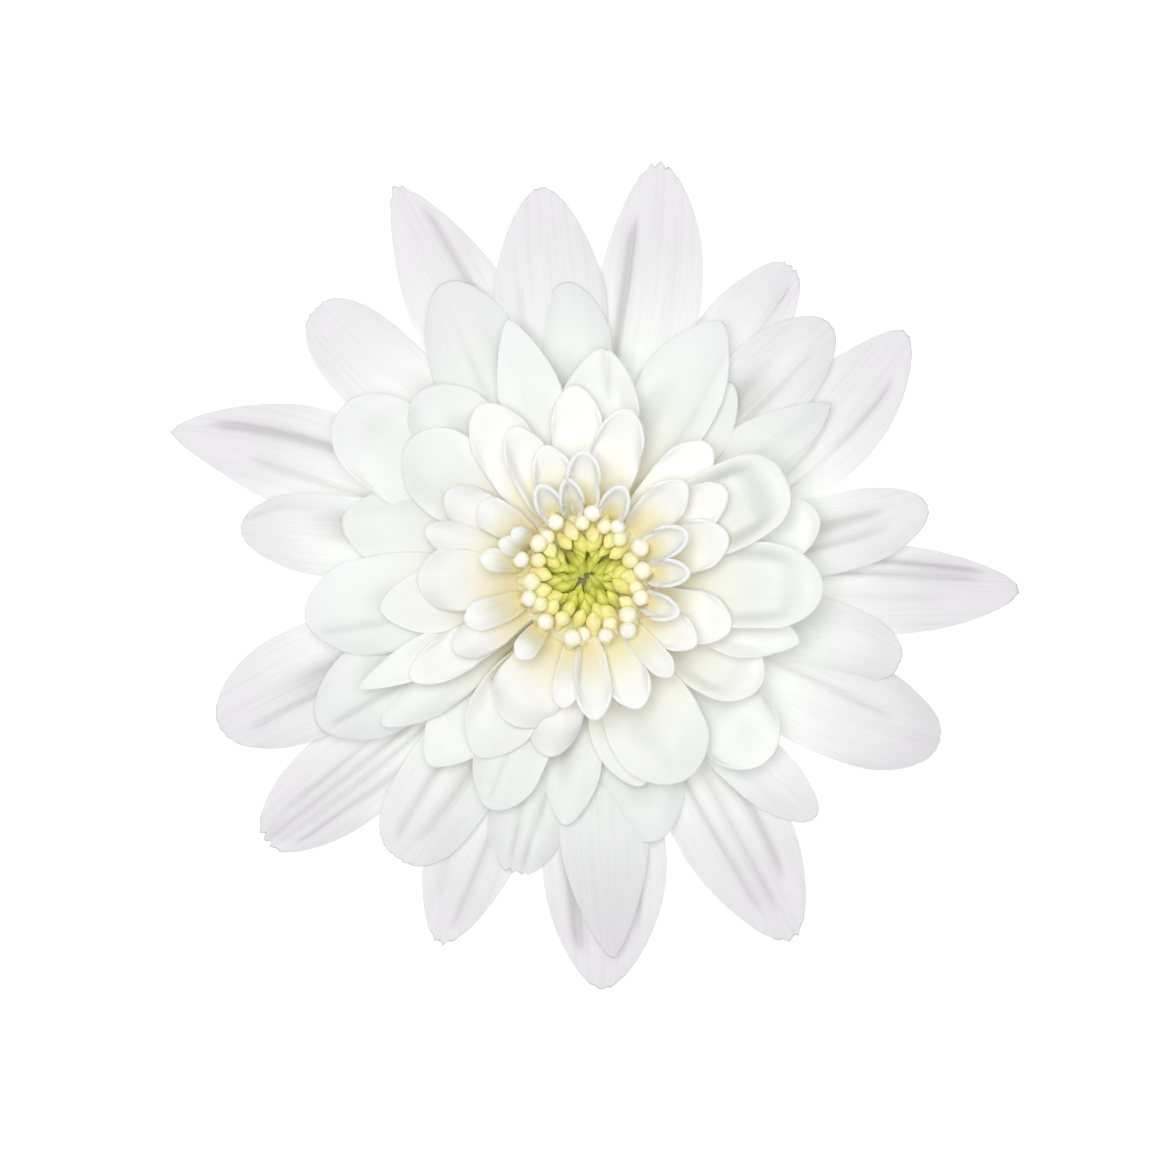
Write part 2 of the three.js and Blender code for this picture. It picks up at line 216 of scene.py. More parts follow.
def makeAxisDistance():
    maker = GroupMaker("axis distance", "ShaderNodeTree", {"Vector": ["Vector"]}, {"Float": ["Distance"]})
    reach = toneReach * mm
    centred = maker.first("ShaderNodeMapping", {
        "Vector": maker.entry[0],
        "Location": (-axisX * mm / reach, -axisY * mm / reach, 0),
        "Scale": (1 / reach, 1 / reach, 0),
    })
    length = maker.add("ShaderNodeVectorMath", {0: centred}, operation="LENGTH")
    maker.plug(maker.leave, {"Distance": length.outputs["Value"]})
    return maker.tree


def makePetalVeins():
    # fine lines along a petal from its UV map, u across and v along, and a broad mottle
    maker = GroupMaker("petal veins", "ShaderNodeTree", {"Vector": ["UV"], "Float": ["Lines"]},
                       {"Float": ["Height", "Mottle"]})
    uv = maker.entry["UV"]
    u, v = maker.split(uv)
    lined = maker.maths("MULTIPLY", u, maker.entry["Lines"])
    stretched = maker.vector(lined, maker.maths("MULTIPLY", v, 1.6))
    maker.plug(maker.leave, {
        "Height": maker.noise(stretched, 1.0, 3.0, 0.6, noise_dimensions="2D"),
        "Mottle": maker.noise(uv, 5.0, 4.0, noise_dimensions="2D"),
    })
    return maker.tree


axisDistance = makeAxisDistance()
petalVeins = makePetalVeins()


# Materials

white = (1, 1, 1)


def newMaterial(name):
    material = bpy.data.materials.new(name)
    material.use_nodes = True
    return material, NodeMaker(material.node_tree), material.node_tree.nodes["Principled BSDF"]


def toneByDistance(maker, tones):
    distance = maker.first("ShaderNodeGroup", {0: maker.place()}, node_tree=axisDistance)
    return maker.ramp(distance, [(reach / toneReach, colour) for reach, colour in tones], "LINEAR")


petalLook = {
    # colour by distance from the axis, in mm
    "tones": [
        (5.5, (0.95, 0.86, 0.54)), (7.0, (0.985, 0.918, 0.655)), (9.0, (0.985, 0.945, 0.775)),
        (12.0, (0.988, 0.974, 0.915)), (16.0, (0.98, 0.982, 0.966)), (24.0, (0.966, 0.971, 0.964)),
        (29.0, (0.932, 0.929, 0.931)), (35.0, (0.903, 0.892, 0.899)), (45.0, (0.895, 0.884, 0.893)),
    ],
    "limbWhite": (0.978, 0.978, 0.962, 1),  # what a small floret pales to past its coloured foot
    # painted highlight: the white that a lip's margin is painted to look lit
    "paintedLipHighlight": (0.985, 0.985, 0.975, 1),
    "roughness": (0.42, 0.6),
    "spread": (0.95, 0.97, 1.0),  # how far red, green and blue light spread inside
    # each kind: lines across, vein depth in mm and shade, the tint of painted shade in its hollows, the tint
    # of its foot (its own greenish colour and painted shade under the petals above), the share of light that
    # passes through, and the share that spreads inside
    "outer petal, fine ribs": dict(
        lines=34, veinDepth=0.07, veinShade=0.965, hollowShadeTint=(0.82, 0.81, 0.815), footTintAndShade=white,
        through=0.36, soft=0.0),
    "middle petal, satin": dict(
        lines=24, veinDepth=0.025, veinShade=0.988, hollowShadeTint=(0.88, 0.886, 0.868),
        footTintAndShade=(0.966, 0.973, 0.956), through=0.28, soft=0.0),
    "inner petal, cream foot": dict(
        lines=12, veinDepth=0.02, veinShade=0.99, hollowShadeTint=(0.84, 0.842, 0.82), footTintAndShade=white,
        through=0.2, soft=0.4, footEnds=(0.4, 0.95)),
}


def petalMaterial(name):
    kind = petalLook[name]
    material, maker, surface = newMaterial(name)
    tone = toneByDistance(maker, petalLook["tones"])
    uv = maker.first("ShaderNodeUVMap", uv_map="petal")
    u, v = maker.split(uv)
    if "footEnds" in kind:
        start, end = kind["footEnds"]
        pale = {"Value": v, "From Min": start, "From Max": end}
        pale = maker.first("ShaderNodeMapRange", pale, interpolation_type="SMOOTHSTEP")
        tone = maker.mix(pale, tone, petalLook["limbWhite"])
    veins = maker.add("ShaderNodeGroup", node_tree=petalVeins)
    maker.plug(veins, {"UV": uv, "Lines": kind["lines"]})
    height, mottle = veins.outputs
    # painted shade in hollows and grooves, and a painted highlight on the lips, read from the mesh's points
    hollowShade = maker.add("ShaderNodeAttribute", attribute_name="hollowShade").outputs["Fac"]
    lip = maker.add("ShaderNodeAttribute", attribute_name="lip").outputs["Fac"]
    tone = maker.tint(
        tone,
        # the foot tinted greener, its own colour, and darker, painted shade under the petals above
        maker.ramp(v, [(0.5, kind["footTintAndShade"]), (0.88, white)]),
        maker.ramp(height, [(0.35, (kind["veinShade"],) * 3), (0.55, white)]),
        maker.ramp(hollowShade, [(0.05, white), (0.9, kind["hollowShadeTint"])]),
    )
    # painted highlight: the lips are whitened
    tone = maker.mix(lip, tone, petalLook["paintedLipHighlight"])
    satin, matt = petalLook["roughness"]
    maker.plug(surface, {
        "Base Color": tone,
        "Roughness": maker.first("ShaderNodeMapRange", {"Value": mottle, "To Min": satin, "To Max": matt}),
        "Specular IOR Level": 0.25,
        "Subsurface Weight": kind["soft"],
        "Subsurface Radius": petalLook["spread"],
        "Subsurface Scale": 0.3 * mm,
        "Normal": maker.bump(height, 0.6, kind["veinDepth"]),
    })
    glow = maker.first("ShaderNodeBsdfTranslucent", {"Color": tone})
    both = maker.first("ShaderNodeMixShader", {0: kind["through"], 1: surface.outputs[0], 2: glow})
    maker.plug(maker.tree.nodes["Material Output"], {"Surface": both})
    return material


discLook = {
    # colour by distance from the axis, in mm
    "tones": [
        (0.0, (0.46, 0.49, 0.045)), (1.5, (0.62, 0.64, 0.07)), (2.8, (0.78, 0.76, 0.16)),
        (4.0, (0.90, 0.84, 0.36)), (5.0, (0.955, 0.91, 0.62)), (6.0, (0.975, 0.96, 0.86)),
        (7.2, (0.98, 0.975, 0.94)),
    ],
    # the flesh darkens to near black in the sunk middle: green flesh with painted shade of the deep centre
    "cushionTonesWithDepthShade": [
        (0.0, (0.12, 0.16, 0.015)), (2.5, (0.17, 0.19, 0.02)), (4.2, (0.48, 0.47, 0.12)),
        (5.5, (0.82, 0.79, 0.46)), (6.5, (0.95, 0.92, 0.72)),
    ],
    "greenFootShade": (0.62, 0.63, 0.38),  # multiplies the colour at a green floret's foot: greener, its own colour, and darker, painted shade where the florets crowd
    # the same at a cream floret's foot: warmer, its own colour, and darker, painted shade where the florets
    # crowd
    "creamFootShade": (0.95, 0.90, 0.66),
    "grainTint": (0.9, 0.91, 0.86),
    "grainScale": 1500,
    "roughness": 0.42,
    "spread": (1.0, 0.9, 0.4),
}


def discMaterial(name, tones, foot):
    material, maker, surface = newMaterial(name)
    tone = toneByDistance(maker, tones)
    u, v = maker.split(maker.first("ShaderNodeUVMap", uv_map="petal"))
    grain = maker.noise(maker.place(), discLook["grainScale"], 4.0)
    tone = maker.tint(
        tone,
        # the foot's own colour with painted shade where the florets crowd
        maker.ramp(v, [(0.35, foot), (0.85, white)]),
        maker.ramp(grain, [(0.3, discLook["grainTint"]), (0.6, white)]),
    )
    maker.plug(surface, {
        "Base Color": tone,
        "Roughness": discLook["roughness"],
        "Subsurface Weight": 0.3,
        "Subsurface Radius": discLook["spread"],
        "Subsurface Scale": 0.3 * mm,
        "Normal": maker.bump(grain, 0.4, 0.04),
    })
    return material


greenLook = {
    "roughness": 0.55,
    # each kind: colours between and on its fibres, fibres a metre, and what covers the green, as
    # (along it or aside from its middle, where it fades as (place, strength), colour)
    "stem green": dict(dark=(0.16, 0.25, 0.06), light=(0.30, 0.40, 0.13), fibres=2500, covers=[
        ("along", [(0.2, 1), (0.25, 0)], (0.88, 0.86, 0.62)),  # the pale bed of the florets
        ("along", [(0.86, 0), (0.89, 1)], (0.72, 0.76, 0.50)),  # the cut end
    ]),
    "bract green": dict(dark=(0.12, 0.21, 0.05), light=(0.25, 0.36, 0.12), fibres=1800, covers=[
        ("aside", [(0.7, 0), (0.95, 1)], (0.50, 0.46, 0.27)),  # the papery margin, ragged by the fibres
        ("along", [(0.8, 0), (1.0, 0.7)], (0.22, 0.13, 0.05)),  # the brown end
    ]),
}


def greenMaterial(name):
    kind = greenLook[name]
    material, maker, surface = newMaterial(name)
    fine = kind["fibres"]
    values = {"Vector": maker.place(), "Scale": (fine, fine, fine * 0.15)}
    stretched = maker.first("ShaderNodeMapping", values)
    fibre = maker.noise(stretched, 1.0, 5.0)
    tone = maker.ramp(fibre, [(0.3, kind["dark"]), (0.7, kind["light"])])
    u, v = maker.split(maker.first("ShaderNodeUVMap", uv_map="petal"))
    for way, stops, colour in kind["covers"]:
        where = v
        if way == "aside":
            aside = maker.maths("ABSOLUTE", maker.maths("MULTIPLY_ADD", u, 2.0, -1.0))
            where = maker.maths("MULTIPLY_ADD", fibre, 0.25, aside)
        cover = maker.ramp(where, [(place, (strength,) * 3) for place, strength in stops])
        tone = maker.mix(cover, tone, (*colour, 1))
    maker.plug(surface, {
        "Base Color": tone,
        "Roughness": greenLook["roughness"],
        "Normal": maker.bump(fibre, 0.5, 0.08),
    })
    return material


outerPetal = petalMaterial("outer petal, fine ribs")
middlePetal = petalMaterial("middle petal, satin")
innerPetal = petalMaterial("inner petal, cream foot")
waxyDisc = discMaterial("waxy disc florets", discLook["tones"], discLook["greenFootShade"])
creamDisc = discMaterial("cream disc florets", discLook["tones"], discLook["creamFootShade"])
discFlesh = discMaterial("flesh under the disc florets", discLook["cushionTonesWithDepthShade"], white)
stemGreen = greenMaterial("stem green")
bractGreen = greenMaterial("bract green")
print("materials made")


# Petals: thin closed blades on a curved spine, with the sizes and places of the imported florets

pointed = (1.5, 0.4)  # roundness of the tip's curve, and the share of the length over which it closes
oval = (1.8, 0.38)
rounded = (2.1, 0.28)
blunt = (2.5, 0.22)

headShape = {
    "receptacleRadius": (6.5, 4.9),  # where the lowest and the innermost florets stand
    "baseHeight": (8.1, 13.3),
    "innermostLevel": 8,
    "innerFootLevel": 7.2,  # of a small floret of level 7
    "innerFootRise": 0.6,  # more for each level above that
    "clearance": 0.3,
    "crownTop": 8.6,
    "crownFall": 0.0042,
    "levelRise": 1.5,
    "launch": (4.0, 7.2),  # degrees at level 0, and more for each level
    "innerLaunch": 45.0,
    "cadThickness": 0.45,
    "openingPower": 1.3,
    "clawShare": 0.2,
    "innerClawShare": 0.45,
    "widestAt": 0.62,
    "narrowing": 0.22,
    "teeth": (26, 2.6),  # their waves across a tip, and how narrow their band is
    "wavers": (9, 17),  # waves of the outline along each side
    "saddle": (0.58, 0.17),  # place and spread of the soft hollow along a petal
    "fullShadeDepths": (0.7, 1.5, 2.2),  # depth of a groove, a hollow and a saddle that take the full tint of painted shade
    "lipHighlightEnds": (0.75, 0.25),  # mm from the edge where a lip's painted highlight begins, and where it is full
    "edgeReach": 1.6,  # mm from the edge over which a petal grows to its full thickness
    "coveredBy": (0.3, 3, 24),  # a neighbour covers it from this much higher, and this many degrees away
    "coveredRim": 0.1,
}


def polarPoint(radius, azimuth, height):
    angle = math.radians(azimuth)
    return np.array([axisX + radius * math.cos(angle), axisY + radius * math.sin(angle), height])


def lerp(pair, share):
    return pair[0] + (pair[1] - pair[0]) * share


def past(x, start, end=1.0):
    # 0 up to start, then a straight rise through 1 at end
    return np.maximum((x - start) / (end - start), 0)


def smooth(x, start=0.0, end=1.0):
    x = np.clip((x - start) / (end - start), 0, 1)
    return x * x * (3 - 2 * x)


def eased(x, stops):
    # smooth steps between (place, value) stops
    result = np.full_like(x, stops[0][1])
    for (place, value), (nextPlace, nextValue) in zip(stops, stops[1:]):
        result += (nextValue - value) * smooth(x, place, nextPlace)
    return result


def bell(x):
    return np.exp(-(x**2))


def unit(vectors):
    return vectors / np.maximum(np.linalg.norm(vectors, axis=-1, keepdims=True), 1e-12)


def spineFrame(blade, t):
    # points and tangents of the blade's spine at every t
    start, finish = blade.start, blade.finish
    across = finish - start
    handle = np.linalg.norm(across) / 3
    ahead = unit(across * (1, 1, 0))
    left = np.cross(up, ahead) * 4 * blade.bow
    second = start + handle * (ahead * math.cos(blade.launch) + up * math.sin(blade.launch))
    third = finish - handle * (ahead * math.cos(blade.arrival) + up * math.sin(blade.arrival))
    t = t[..., None]
    s = 1 - t
    points = s**3 * start + 3 * s * s * t * second + 3 * s * t * t * third + t**3 * finish
    slope = 3 * (s * s * (second - start) + 2 * s * t * (third - second) + t * t * (finish - third))
    return points + left * t * s, unit(slope + left * (1 - 2 * t))


def quads(grid):
    return np.stack([grid[:-1, :-1], grid[1:, :-1], grid[1:, 1:], grid[:-1, 1:]], axis=-1).reshape(-1, 4)


def bladeSheet(blade):
    # the closed skin of a blade as (points in mm, faces, uvs, hollow shades, lip highlights), with painted
    # shade 1 in a deep hollow and painted highlight 1 on a lip's margin
    blade = SimpleNamespace(**blade)
    columns, rows = blade.faces
    fromRight = np.sin((np.arange(columns + 1) * 2 / columns - 1) * math.pi / 2)
    even = np.arange(rows + 1) / rows
    across, along = np.meshgrid(fromRight, 0.3 * even + 0.7 * np.sin(even * math.pi / 2))
    aside = np.abs(across)
    onLeft = across > 0
    roundness, share = blade.tip
    teeth, band = headShape["teeth"]
    end = 1 - share * (1 - np.maximum(1 - aside**roundness, 0) ** (1 / roundness))
    end = end - blade.teeth * (1 - np.cos((across - blade.toothPlace) * teeth)) * bell(across * band)
    t = along * end
    middle, tangent = spineFrame(blade, t)
    side = unit(np.cross(up, tangent))
    normal = np.cross(tangent, side)
    roll = np.radians(blade.roll + blade.twist * t)[..., None]
    side, normal = side * np.cos(roll) + normal * np.sin(roll), normal * np.cos(roll) - side * np.sin(roll)

    opening = np.sin(np.minimum(t / blade.widestAt, 1) * math.pi / 2) ** headShape["openingPower"]
    closing = 1 - headShape["narrowing"] * past(t, blade.widestAt) ** 2
    half = blade.width / 2 * lerp((blade.claw, 1), opening) * closing
    slow, quick = headShape["wavers"]
    wobble = np.sin(t * slow + blade.phase) * 0.6 + np.sin(t * quick + 2 * blade.phase) * 0.4
    half = half * (1 + blade.wobble * wobble * np.sign(across) * along * (1 - along))

    cup = np.radians(eased(t, blade.cup))
    cup = np.where(np.abs(cup) < 0.01, 0.01, cup)  # never quite flat
    arc = half / np.sin(np.clip(np.abs(cup), 0, 1.4)) * np.sign(cup)
    x = arc * np.sin(cup * across)
    y = arc * (1 - np.cos(cup * across))
    # painted shade: how deep each point lies in a groove, a hollow or the saddle, which later darkens its
    # colour
    hollowShade = np.zeros_like(t)
    fullGroove, fullHollow, fullSaddle = headShape["fullShadeDepths"]
    for first, last, begin, until, depth, spread in blade.grooves:
        place = lerp((first, last), np.clip((along - begin) / (until - begin), 0, 1))
        fade = smooth(along, begin - 0.1, begin + 0.1) * smooth(along, until + 0.05, until - 0.05)
        cut = depth * bell((across - place) / spread) * fade
        y = y - cut
        hollowShade = hollowShade + cut / fullGroove
    for place, height, wide, long, peak in blade.bumps:
        swell = peak * bell((across - place) / wide) * bell((along - height) / long)
        y = y + swell
        hollowShade = hollowShade + np.maximum(-swell, 0) / fullHollow
    saddlePlace, saddleSpread = headShape["saddle"]
    hollow = blade.saddle * bell((along - saddlePlace) / saddleSpread) * (1 - across**2)
    hollowShade = hollowShade + hollow / fullSaddle
    fine = smooth(t, 0.06, 0.3) * smooth(along, 1.0, 0.75) * (1 - across**2)
    y = y - hollow - blade.ribs * np.cos(across * blade.ribCount * math.pi + blade.phase) * fine

    keep = np.where(onLeft, *blade.sideRims)  # a side that a neighbour covers loses its rim and bends down
    y = y - blade.tuck * (1 - keep) * past(aside, 0.15) ** 1.5 * smooth(t, 0, 0.3)
    sideRim = smooth(aside, blade.rimSide, 0.95) * keep
    tipRim = smooth(along, blade.rimTip, 0.96)
    lipped = (1 - (1 - sideRim) * (1 - tipRim)) * smooth(t, blade.rimFrom, blade.rimFrom + 0.3)
    y = y + blade.rim * min(1, blade.width / 6) * lipped
    # painted shade also on the inner slope of a raised rim
    hollowShade = hollowShade + 1.1 * max(blade.rim, 0) * lipped * (1 - lipped)
    edge = past(aside, 0.5) ** 1.6 * smooth(t, blade.edgeFrom, blade.edgeFrom + 0.35)
    y = y + edge * np.where(onLeft, blade.leftEdge, blade.rightEdge)
    y = y + blade.tipLift * past(along, blade.tipFrom) ** 2.2
    wave = np.sin(t * blade.waves + np.where(onLeft, 0.0, 2.1) + blade.phase)
    y = y + blade.ruffle * wave * aside**3 * smooth(t, 0.15, 0.6)
    centre = middle + side * x[..., None] + normal * y[..., None]

    outward = unit(np.cross(np.gradient(centre, axis=0), np.gradient(centre, axis=1)))
    outward[:, 0] = outward[:, 1]
    outward[:, -1] = outward[:, -2]
    outward[-1] = outward[-2]
    toSide = np.maximum((1 - aside) * half, 1e-4)
    toTip = np.maximum((end - t) * np.linalg.norm(blade.finish - blade.start), 1e-4)
    toEdge = 1 / np.sqrt(1 / toSide**2 + 1 / toTip**2)
    rim = np.clip(toEdge / (blade.thickness * 0.25), 0, 1)
    # painted highlight: the margin of a lip is whitened
    lip = smooth(toEdge, *headShape["lipHighlightEnds"]) * blade.lip
    thin = lerp((blade.thinEdge, 1), np.clip(toEdge / headShape["edgeReach"], 0, 1) ** 0.7)
    thick = blade.thickness / 2 * thin * np.sqrt(np.maximum(1 - (1 - rim) ** 2, 0))
    if blade.bead:
        radius = blade.bead / 2 * smooth(t, 0.1, 0.4)
        thick = np.maximum(thick, np.sqrt(np.maximum(radius**2 - (toEdge - radius) ** 2, 0)))
    thick[[0, -1]] = 0
    thick[:, [0, -1]] = 0
    skin = outward * thick[..., None]

    top = np.arange(t.size).reshape(t.shape)
    under = top.copy()
    within = (slice(1, -1), slice(1, -1))  # the rim belongs to both sides
    under[within] = t.size + np.arange(under[within].size).reshape(rows - 1, columns - 1)

    def joined(over, beneath):
        return np.concatenate([over.reshape(t.size, -1), beneath[within].reshape(under[within].size, -1)])

    uv = np.stack([(across + 1) / 2, along], axis=-1)
    faces = np.concatenate([quads(top), quads(under)[:, ::-1]])
    hollowShades = np.clip(joined(hollowShade, hollowShade * 0.4), 0, 1)
    return joined(centre + skin, centre - skin), faces, joined(uv, uv), hollowShades[:, 0], joined(lip, lip)[:, 0]


def makePiece(name, sheets, material, uvShift=0.0):
    # joins sheets into one smooth object, its place in its mesh
    points, faces, uvs, hollowShades, lipHighlights = zip(*sheets)
    counts = np.cumsum([0] + [len(each) for each in points])
    faces = np.concatenate([each + count for each, count in zip(faces, counts)])
    uvs = np.concatenate([each + [uvShift + 1.37 * k, 0] for k, each in enumerate(uvs)])
    mesh = bpy.data.meshes.new(name)
    mesh.vertices.add(int(counts[-1]))
    mesh.vertices.foreach_set("co", (np.concatenate(points) * mm).astype(np.float32).ravel())
    mesh.loops.add(faces.size)
    mesh.loops.foreach_set("vertex_index", faces.astype(np.int32).ravel())
    mesh.polygons.add(len(faces))
    mesh.polygons.foreach_set("loop_start", np.arange(len(faces), dtype=np.int32) * 4)
    mesh.update(calc_edges=True)
    mesh.validate()
    layer = mesh.uv_layers.new(name="petal")
    layer.data.foreach_set("uv", uvs[faces.ravel()].astype(np.float32).ravel())
    # painted shade and painted highlight, kept on the points for the petal material
    for label, values in (("hollowShade", hollowShades), ("lip", lipHighlights)):
        layer = mesh.attributes.new(label, "FLOAT", "POINT")
        layer.data.foreach_set("value", np.concatenate(values).astype(np.float32))
    shell = bmesh.new()
    shell.from_mesh(mesh)
    bmesh.ops.remove_doubles(shell, verts=shell.verts, dist=1e-8)  # closes poles and seams
    shell.to_mesh(mesh)
    shell.free()
    mesh.polygons.foreach_set("use_smooth", np.ones(len(mesh.polygons), bool))
    mesh.materials.append(material)
    return newObject(name, mesh)


def floretBlade(number, level, azimuth, reach, width, tip, habit, changes, footLevel=None):
    # one floret's blade: its habit with its own changes, at its place in the head
    small = footLevel is not None
    blade = {**habit, **changes}
    inward = (footLevel if small else level) / headShape["innermostLevel"]
    flank = lerp(headShape["receptacleRadius"], inward)
    foot = flank + headShape["clearance"] + headShape["cadThickness"] / 2
    crown = headShape["crownTop"] - headShape["crownFall"] * reach**2
    base, more = headShape["launch"]
    random = np.random.default_rng(1000 + number)
    blade["roll"] += random.uniform(-1, 1) * blade["ownRoll"]
    blade["twist"] += random.uniform(-1, 1) * blade["ownTwist"]
    blade.update(
        start=polarPoint(foot, azimuth + blade.get("lean", 0), lerp(headShape["baseHeight"], inward)),
        finish=polarPoint(reach, azimuth, crown + headShape["levelRise"] * level + blade["lift"]),
        launch=math.radians(headShape["innerLaunch"] if small else base + more * level),
        arrival=math.atan(-2 * headShape["crownFall"] * reach) - math.radians(blade["nod"]),
        width=width,
        tip=tip,
        phase=random.uniform(0, 6.28),
        toothPlace=random.uniform(-0.08, 0.08),
        claw=headShape["innerClawShare" if small else "clawShare"],
    )
    return blade


def settle(piece, node=None):
    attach(piece, "root")
    if node:
        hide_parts(node)


plainHabit = {
    "faces": (32, 36),  # across and along
    "thickness": 0.26,
    "thinEdge": 0.3,
    "lip": 0.0,  # how much painted highlight whitens the margin
    "bead": 0.0,  # thickness of a rolled margin
    "lift": 0.0,  # how much higher the tip is than its level asks
    "bow": 0.0,
    "roll": 0.0,
    "twist": 0.0,
    "ownRoll": 3.0,  # how far each floret differs from its habit, in degrees
    "ownTwist": 6.0,
    "saddle": 0.0,  # depth of a soft hollow past the middle
    "nod": 0.0,
    "widestAt": headShape["widestAt"],
    "wobble": 0.12,
    "cup": [(0.0, 55), (0.25, 16), (0.6, 8), (1.0, 3)],
    "grooves": [],  # lines as (u at its start, u at its end, start, end, depth, spread), u from right to left
    "bumps": [],  # swellings and hollows as (u, share of length, spread across, spread along, height)
    "ribs": 0.03,
    "ribCount": 5,
    "rim": 0.0,  # how far the margin stands up as a lip all round
    "rimSide": 0.55,
    "rimTip": 0.72,
    "rimFrom": 0.12,  # share of the length past which the rim rises
    "sideRims": (1.0, 1.0),  # share of the rim on the left and on the right
    "tuck": 1.3,  # how far a side without its rim bends down
    "tipLift": 0.0,
    "tipFrom": 0.75,
    "leftEdge": 0.0,
    "rightEdge": 0.0,
    "edgeFrom": 0.1,
    "ruffle": 0.12,
    "waves": 7.0,
    "teeth": 0.0,
}

outerHabit = dict(plainHabit, faces=(36, 44), nod=5.0, leftEdge=-0.25, rightEdge=-0.25, teeth=0.004)

